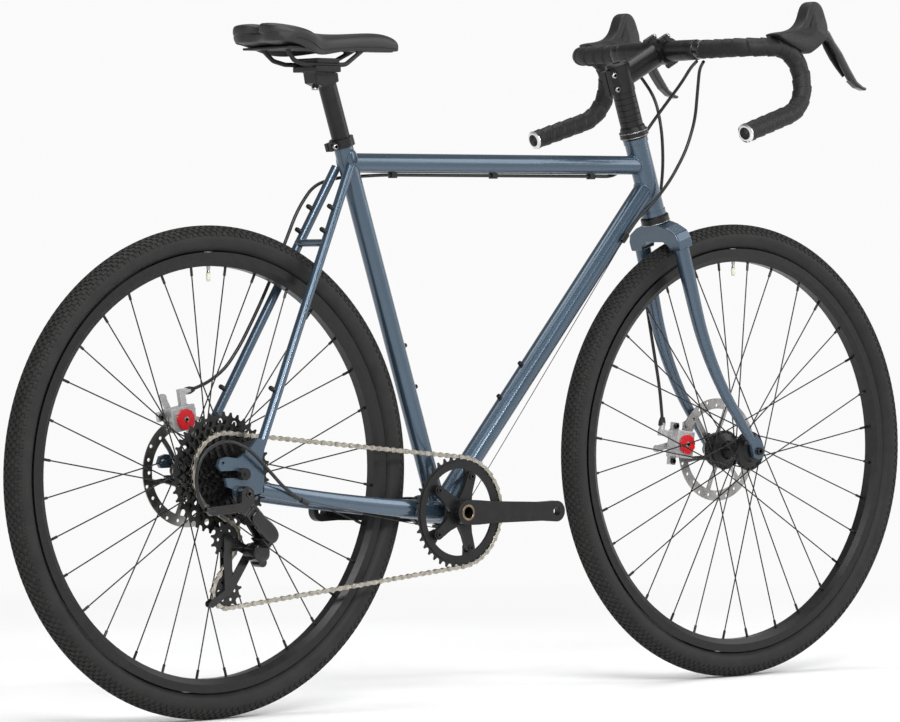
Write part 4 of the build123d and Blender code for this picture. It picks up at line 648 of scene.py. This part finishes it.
# ---------------------------------------------------------------- lever hoods
# side view of the hood and of the line its flanks round towards, in millimetres
HOOD_SIDE = ((387, 984), (400, 988.5), (425, 991), (441, 996), (451, 1006), (456.5, 1021), (462, 1032),
             (472, 1037.5), (483, 1035), (491, 1025), (497, 1010), (500, 997), (497, 984), (486, 972),
             (470, 962), (455, 954))
HOOD_SPINE = ((408, 979.5), (440, 976), (464, 979), (475, 994), (477, 1008), (474, 1022))
HOOD_RINGS = ((1.0, 0.8), (0.998, 0.6), (0.985, 0.38), (0.95, 0.2), (0.87, 0.08), (0.74, 0.02), (0.5, 0.0))
HOOD_HALF = 0.0172
HOOD_Y = 0.212
HORN_Z = 0.982             # above this the hood narrows


def smooth_outline(points, rounds):
    """Cuts the corners of a closed outline, a little more each round."""
    for _ in range(rounds):
        cut = []
        for one, two in zip(points, points[1:] + points[:1]):
            cut += [one * 0.75 + two * 0.25, one * 0.25 + two * 0.75]
        points = cut
    return points


def nearest_on_line(point, line):
    best = None
    for one, two in zip(line, line[1:]):
        run = two - one
        t = max(0.0, min(1.0, (point - one).dot(run) / run.dot(run)))
        place = one + run * t
        if best is None or (place - point).length < (best - point).length:
            best = place
    return best


def hood(side, word):
    """Rubber hood with rounded flanks, pulled over the lever body and the end of the tape."""
    outline = smooth_outline([Vector((x * MM, 0, z * MM)) for x, z in HOOD_SIDE], 2)
    spine = [Vector((x * MM, 0, z * MM)) for x, z in HOOD_SPINE]
    middle = Vector((0, side * HOOD_Y, 0))
    inward = [nearest_on_line(point, spine) - point for point in outline]
    rings = [(-w, f) for w, f in HOOD_RINGS] + [(w, f) for w, f in HOOD_RINGS[::-1]]
    verts = []
    for w, f in rings:
        for point, run in zip(outline, inward):
            slim = 1 - 0.24 * min(1.0, max(0.0, (point.z - HORN_Z) / 0.03))
            verts.append(point + run * f + middle + LEFT * (HOOD_HALF * w * slim))
    made = piece("hood_" + word, "fork", verts, loop_faces(len(rings), len(outline)), HOOD,
                 "lever_hood_" + word, slot="rubber")
    smooth = made.modifiers.new("soft", "SUBSURF")
    smooth.levels = smooth.render_levels = 1


hood(1, "left")
hood(-1, "right")


# ---------------------------------------------------------------- softened CAD shapes
def soften(node, voxel, rounds):
    """Cast or moulded look: a fine remesh of the CAD shape with its corners eased."""
    obj = NODES[node]
    remesh = obj.modifiers.new("remesh", "REMESH")
    remesh.mode = "VOXEL"
    remesh.voxel_size = voxel
    remesh.use_smooth_shade = True
    ease = obj.modifiers.new("ease", "SMOOTH")
    ease.factor = 0.5
    ease.iterations = rounds


for node in ("brake_lever_left", "brake_lever_right"):
    soften(node, 0.0012, 5)
for node in ("front_caliper", "rear_caliper"):
    soften(node, 0.0007, 3)
for node in ("seatpost", "fork_crown"):
    soften(node, 0.0009, 5)
soften("saddle_base", 0.0011, 7)
for node in ("derailleur_body", "derailleur_knuckle"):
    soften(node, 0.0007, 4)
for node in ("shift_paddle", "derailleur_outer_link", "derailleur_inner_link"):
    soften(node, 0.0006, 3)
for node in ("crank_right", "crank_left", "stem", "dropouts", "front_caliper_arm", "rear_caliper_arm",
             "front_pad_knob", "rear_pad_knob", "seat_collar", "chainring"):
    ease = NODES[node].modifiers.new("edge", "BEVEL")
    ease.width = 0.0008
    ease.segments = 2
    ease.limit_method = "ANGLE"
    ease.angle_limit = radians(35)


# ---------------------------------------------------------------- weld beads
def bead(name, origin, direction, radius, main_point, main_dir, main_radius, thick=0.0019):
    """Bead of weld where a tube meets the round tube it is mitred to."""
    origin, d = Vector(origin), Vector(direction).normalized()
    point, e = Vector(main_point), Vector(main_dir).normalized()
    seed = d.cross(e).normalized()
    other = d.cross(seed)
    line = []
    for i in range(96):
        a = 2 * pi * i / 96
        start = origin + seed * (radius * cos(a)) + other * (radius * sin(a)) - point
        flat_d = d - e * d.dot(e)
        flat_s = start - e * start.dot(e)
        qa, qb, qc = flat_d.dot(flat_d), 2 * flat_d.dot(flat_s), flat_s.dot(flat_s) - main_radius ** 2
        disc = qb * qb - 4 * qa * qc
        if disc < 0:
            disc = 0.0
        t = (-qb + math.sqrt(disc)) / (2 * qa)
        line.append(point + start + d * t)
    for _ in range(4):
        line = [(line[i - 1] + line[i] * 2 + line[(i + 1) % 96]) / 4 for i in range(96)]
    thickness = [thick * (1 + 0.12 * sin(2 * pi * i / 4)) for i in range(96)]
    verts, faces = tube_along(line, thickness, 8, closed=True)
    return piece(name, "frame", verts, faces, PAINT, slot="frame_paint")


def on_head(along):
    return HEAD_FOOT + HEAD_DIR * along


# outer radii of the frame's tubes and shell
HEAD_R, TUBE_R, DOWN_R, STAY_R, SHELL_R = 0.018, 0.0143, 0.0159, 0.007, 0.02025
TOP_TUBE_Z = 0.792
SEAT_ANGLE = radians(72)
DOWN_TUBE_MEETS = 0.4455
top_front = on_head((TOP_TUBE_Z - HEAD_FOOT.z) / HEAD_DIR.z)
top_rear = Vector((BB.x - (TOP_TUBE_Z - BB.z) / math.tan(SEAT_ANGLE), 0, TOP_TUBE_Z))
down_top = on_head(DOWN_TUBE_MEETS)
bead("weld_top_front", top_front, (-1, 0, 0), TUBE_R, HEAD_FOOT, HEAD_DIR, HEAD_R)
bead("weld_top_rear", top_rear, (1, 0, 0), TUBE_R, BB, SEAT_DIR, TUBE_R + 0.0002)
bead("weld_down_top", down_top, BB - down_top, DOWN_R, HEAD_FOOT, HEAD_DIR, HEAD_R)
bead("weld_down_shell", BB, down_top - BB, DOWN_R, BB, LEFT, SHELL_R)
bead("weld_seat_shell", BB, SEAT_DIR, TUBE_R, BB, LEFT, SHELL_R)
for side, word in ((1, "left"), (-1, "right")):
    stay_top = Vector((-0.264, side * 0.016, 0.786))
    stay_low = Vector((-0.470, side * 0.068, 0.392))
    bead("weld_stay_" + word, stay_top, stay_low - stay_top, STAY_R, BB, SEAT_DIR, TUBE_R, thick=0.0014)


# ---------------------------------------------------------------- derailleur covers
def cover(name, body, outline, y_low, y_high, made):
    """Moulded cover with rounded faces, from a side-view outline in millimetres."""
    outline = smooth_outline([Vector((x * MM, 0, z * MM)) for x, z in outline], 2)
    middle = sum(outline, Vector()) / len(outline)
    half = (y_high - y_low) / 2 * MM
    centre = LEFT * ((y_high + y_low) / 2 * MM)
    rings = [(-w, f) for w, f in COVER_RINGS] + [(w, f) for w, f in COVER_RINGS[::-1]]
    verts = [point + (middle - point) * f + centre + LEFT * (half * w) for w, f in rings for point in outline]
    return piece(name, body, verts, loop_faces(len(rings), len(outline)), made)


COVER_RINGS = ((1.0, 0.6), (1.0, 0.3), (0.97, 0.16), (0.86, 0.06), (0.66, 0.01), (0.4, 0.0))
PIVOT = Vector(joint("cage_swing")["pos_m"]) / MM
CLUTCH = ((-12, 8), (-6, 15), (7, 16), (14, 9), (15, -5), (10, -12), (-2, -14), (-11, -9))
clutch = [(PIVOT.x + x, PIVOT.z + z) for x, z in CLUTCH]
cover("clutch_cover", "derailleur_carrier", clutch, -72.5, -49.0, BLACK_GLOSS)
root = Vector(joint("derailleur_swing")["pos_m"]) / MM
end = Vector(joint("carrier_swing")["pos_m"]) / MM
plate = ((-9, 10), (8, 9), (26, 13), (44, 11), (49, 0), (44, -10), (22, -12), (0, -11), (-9, -6))
fall = (end - root).normalized()
lift = Vector((-fall.z, 0, fall.x)).normalized()
flat = Vector((fall.x, 0, fall.z)).normalized()
link_outline = [((root + flat * d + lift * u).x, (root + flat * d + lift * u).z) for d, u in plate]
cover("link_cover", "outer_link", link_outline, root.y - 8.5, root.y - 3.5, BLACK_GLOSS)


# ---------------------------------------------------------------- bolt heads and bright trim
def bolt_heads(name, body, places, made):
    """Cap-head bolts, each a (seat, direction, radius, height), with a round socket sunk in the top."""
    soup = Soup()
    for seat, way, radius, height in places:
        seat, way = Vector(seat), Vector(way).normalized()
        steps = ((0, 1), (0.82, 1), (1, 0.9), (1, 0.55), (0.62, 0.5), (0.6, 0.0))
        line = [seat + way * (height * h) for h, _ in steps]
        verts, faces = tube_along(line, [radius * r for _, r in steps], 24)
        soup.add(verts, faces)
    return piece(name, body, soup.verts, soup.faces, made)


def round_band(name, body, centre, axis, radius, thick, made):
    """Thin bright line round a bearing."""
    axis = Vector(axis).normalized()
    one = axis.cross(LEFT).normalized()
    two = axis.cross(one)
    angles = [2 * pi * i / 64 for i in range(64)]
    line = [centre + one * (radius * cos(a)) + two * (radius * sin(a)) for a in angles]
    verts, faces = tube_along(line, thick, 8, closed=True)
    return piece(name, body, verts, faces, made)


# along the steering axis: middle of the stem's clamp, and the edges of the headset's cups
STEM_ALONG = 0.6165
HEADSET_LINES = (("top", 0.5335), ("middle", 0.5256), ("low", 0.3874))
COLLAR_ALONG = 0.5695
STEM_HUB = on_head(STEM_ALONG)
BAR_CENTRE = Vector((BAR_X, 0, BAR_Z))
STEM_WAY = (BAR_CENTRE - STEM_HUB).normalized()
LUG_UP = STEM_WAY.cross(LEFT) * -1
face_plate = BAR_CENTRE + STEM_WAY * 0.0099
face_bolts = [(face_plate + LEFT * (a * 0.015) + LUG_UP * (b * 0.020), STEM_WAY, 0.0043, 0.0045)
              for a in (-1, 1) for b in (-1, 1)]
pinch = [(STEM_HUB - HEAD_FRONT * 0.022 + HEAD_DIR * (b * 0.011) - LEFT * 0.0109, -LEFT, 0.0044, 0.0046)
         for b in (-1, 1)]
bolt_heads("stem_bolt_heads", "fork", face_bolts + pinch, STEEL)
SEAT_FRONT = Vector((SEAT_DIR.z, 0, -SEAT_DIR.x))
collar = BB + SEAT_DIR * COLLAR_ALONG - SEAT_FRONT * 0.022 - LEFT * 0.0078
bolt_heads("collar_bolt_head", "frame", [(collar, -LEFT, 0.0044, 0.0052)], STEEL)
bolt_heads("rail_clamp_bolt_head", "seat", [((-0.315, 0, 0.9012), (0, 0, -1), 0.0048, 0.0046)], STEEL)
for word, along in HEADSET_LINES:
    round_band("headset_line_" + word, "frame", on_head(along), HEAD_DIR, 0.0219, 0.0007, STEEL)
for side, word in ((1, "left"), (-1, "right")):
    sleeve = [Vector((BAR_X, side * y, BAR_Z)) for y in (0.056, 0.060, 0.083, 0.0846)]
    verts, faces = tube_along(sleeve, [0.0150, 0.0157, 0.0157, 0.0152], 40)
    piece("bar_sleeve_" + word, "fork", verts, faces, BLACK)


def caliper_fittings(word, body, axle, turn):
    """Black mounting bolts and barrel boot, and the bolt in the middle of the red knob."""
    rotor_y = (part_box(word + "_rotor")[0].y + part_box(word + "_rotor")[1].y) / 2
    out = Vector((cos(radians(turn)), 0, sin(radians(turn))))
    along = Vector((-out.z, 0, out.x))
    middle = Vector((axle.x, rotor_y, axle.z)) + out * 0.076
    ear = middle + out * 0.009 + LEFT * 0.0058
    ears = [(ear + along * (side * 0.0275), -LEFT, 0.0046, 0.0045) for side in (-1, 1)]
    bolt_heads(word + "_caliper_bolts", body, ears, BLACK_STEEL)
    barrel = [middle + out * 0.036 - along * a + LEFT * 0.008 for a in (0.024, 0.026, 0.031, 0.038)]
    verts, faces = tube_along(barrel, [0.0052, 0.0056, 0.0056, 0.0036], 20)
    piece(word + "_barrel", body, verts, faces, BLACK_MATTE)
    hub = Vector((middle.x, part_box(word + "_pad_knob")[0].y + 0.0002, middle.z))
    knob = joint(word + "_pad_adjust")["child"]
    bolt_heads(word + "_knob_bolt", knob, [(hub, -LEFT, 0.0042, 0.0012)], STEEL)


# degrees from straight ahead, up over the axle, to each caliper
caliper_fittings("front", "fork", FRONT_AXLE, 172)
caliper_fittings("rear", "frame", REAR_AXLE, 100)
crank_cap = [(0.0085, -0.0712), (0.0112, -0.0712), (0.0119, -0.0707), (0.0119, -0.0695), (0.0085, -0.0695)]
verts, faces = lathe(crank_cap, BB, 48)
piece("spindle_ring", "crankset", verts, faces, BRONZE)


# ---------------------------------------------------------------- floor, light and camera
def area_light(name, place, target, size, power, size_y=None):
    lamp = bpy.data.lights.new(name, "AREA")
    lamp.energy = power
    lamp.shape = "RECTANGLE"
    lamp.size = size
    lamp.size_y = size_y or size
    obj = bpy.data.objects.new(name, lamp)
    bpy.context.collection.objects.link(obj)
    obj.location = place
    obj.rotation_euler = (Vector(target) - Vector(place)).to_track_quat("-Z", "Y").to_euler()


FLOOR_HALF = 30
floor_mesh = bpy.data.meshes.new("floor")
floor_corners = [(x * FLOOR_HALF, y * FLOOR_HALF, -0.0005) for x, y in ((-1, -1), (1, -1), (1, 1), (-1, 1))]
floor_mesh.from_pydata(floor_corners, [], [(0, 1, 2, 3)])
floor = bpy.data.objects.new("floor", floor_mesh)
bpy.context.collection.objects.link(floor)
# pale near the bicycle, and evenly bright further off
floor_finish = material("floor_pale", (0.9, 0.9, 0.9), 0.9, 0.0, 0.01, 1.0, 0.0, 10.0, spec=0.1)
floor_tree = floor_finish.node_tree
far = floor_tree.nodes.new("ShaderNodeEmission")
far.inputs["Color"].default_value = (0.96, 0.96, 0.96, 1)
away = floor_tree.nodes.new("ShaderNodeVectorMath")
away.operation = "LENGTH"
fade_out = floor_tree.nodes.new("ShaderNodeMapRange")
fade_out.inputs["From Min"].default_value = 0.9
fade_out.inputs["From Max"].default_value = 2.6
blend = floor_tree.nodes.new("ShaderNodeMixShader")
place = next(n for n in floor_tree.nodes if n.type == "TEX_COORD")
surface = next(n for n in floor_tree.nodes if n.type == "OUTPUT_MATERIAL")
floor_tree.links.new(place.outputs["Object"], away.inputs[0])
floor_tree.links.new(away.outputs["Value"], fade_out.inputs["Value"])
floor_tree.links.new(fade_out.outputs["Result"], blend.inputs["Fac"])
floor_tree.links.new(floor_tree.nodes["Principled BSDF"].outputs["BSDF"], blend.inputs[1])
floor_tree.links.new(far.outputs["Emission"], blend.inputs[2])
floor_tree.links.new(blend.outputs["Shader"], surface.inputs["Surface"])
floor_mesh.materials.append(floor_finish)

world = bpy.data.worlds.new("studio")
bpy.context.scene.world = world
world.use_nodes = True
sky = world.node_tree.nodes["Background"]
direction = world.node_tree.nodes.new("ShaderNodeTexCoord")
parts = world.node_tree.nodes.new("ShaderNodeSeparateXYZ")
fade = world.node_tree.nodes.new("ShaderNodeValToRGB")
fade.color_ramp.elements[0].position = 0.1
fade.color_ramp.elements[0].color = (1.0, 1.0, 1.0, 1)
fade.color_ramp.elements[1].position = 0.42
fade.color_ramp.elements[1].color = (0.22, 0.22, 0.225, 1)
world.node_tree.links.new(direction.outputs["Generated"], parts.inputs["Vector"])
world.node_tree.links.new(parts.outputs["Z"], fade.inputs["Fac"])
world.node_tree.links.new(fade.outputs["Color"], sky.inputs["Color"])
sky.inputs["Strength"].default_value = 0.96
area_light("key", (-3.5, -4.5, 4.5), (0, 0, 0.5), 3.0, 200)
area_light("strip", (-1.2, -3.6, 2.6), (0, 0, 0.6), 3.2, 90, 0.22)
area_light("fill", (4.5, -3.0, 3.0), (0, 0, 0.5), 3.5, 120)
area_light("top", (0, 0.5, 5.0), (0, 0, 0.3), 4.0, 160)

camera_data = bpy.data.cameras.new("camera")
camera = bpy.data.objects.new("camera", camera_data)
bpy.context.collection.objects.link(camera)
# the camera's own axes and place, from behind and to the right of the bicycle
right = Vector((0.76795, -0.64047, -0.00663))
up = Vector((0.01906, 0.01251, 0.99974))
ahead = Vector((0.64023, 0.76788, -0.02181))
turn = Matrix((right, up, -ahead)).transposed().to_4x4()
camera.matrix_world = Matrix.Translation((-4.6795, -5.5217, 0.6594)) @ turn
camera_data.sensor_width = 36.0
camera_data.lens = 194.83
camera_data.shift_x = 0.0067
camera_data.shift_y = -0.0012
camera_data.clip_end = 100.0
bpy.context.scene.camera = camera
bpy.context.scene.view_settings.view_transform = "Standard"
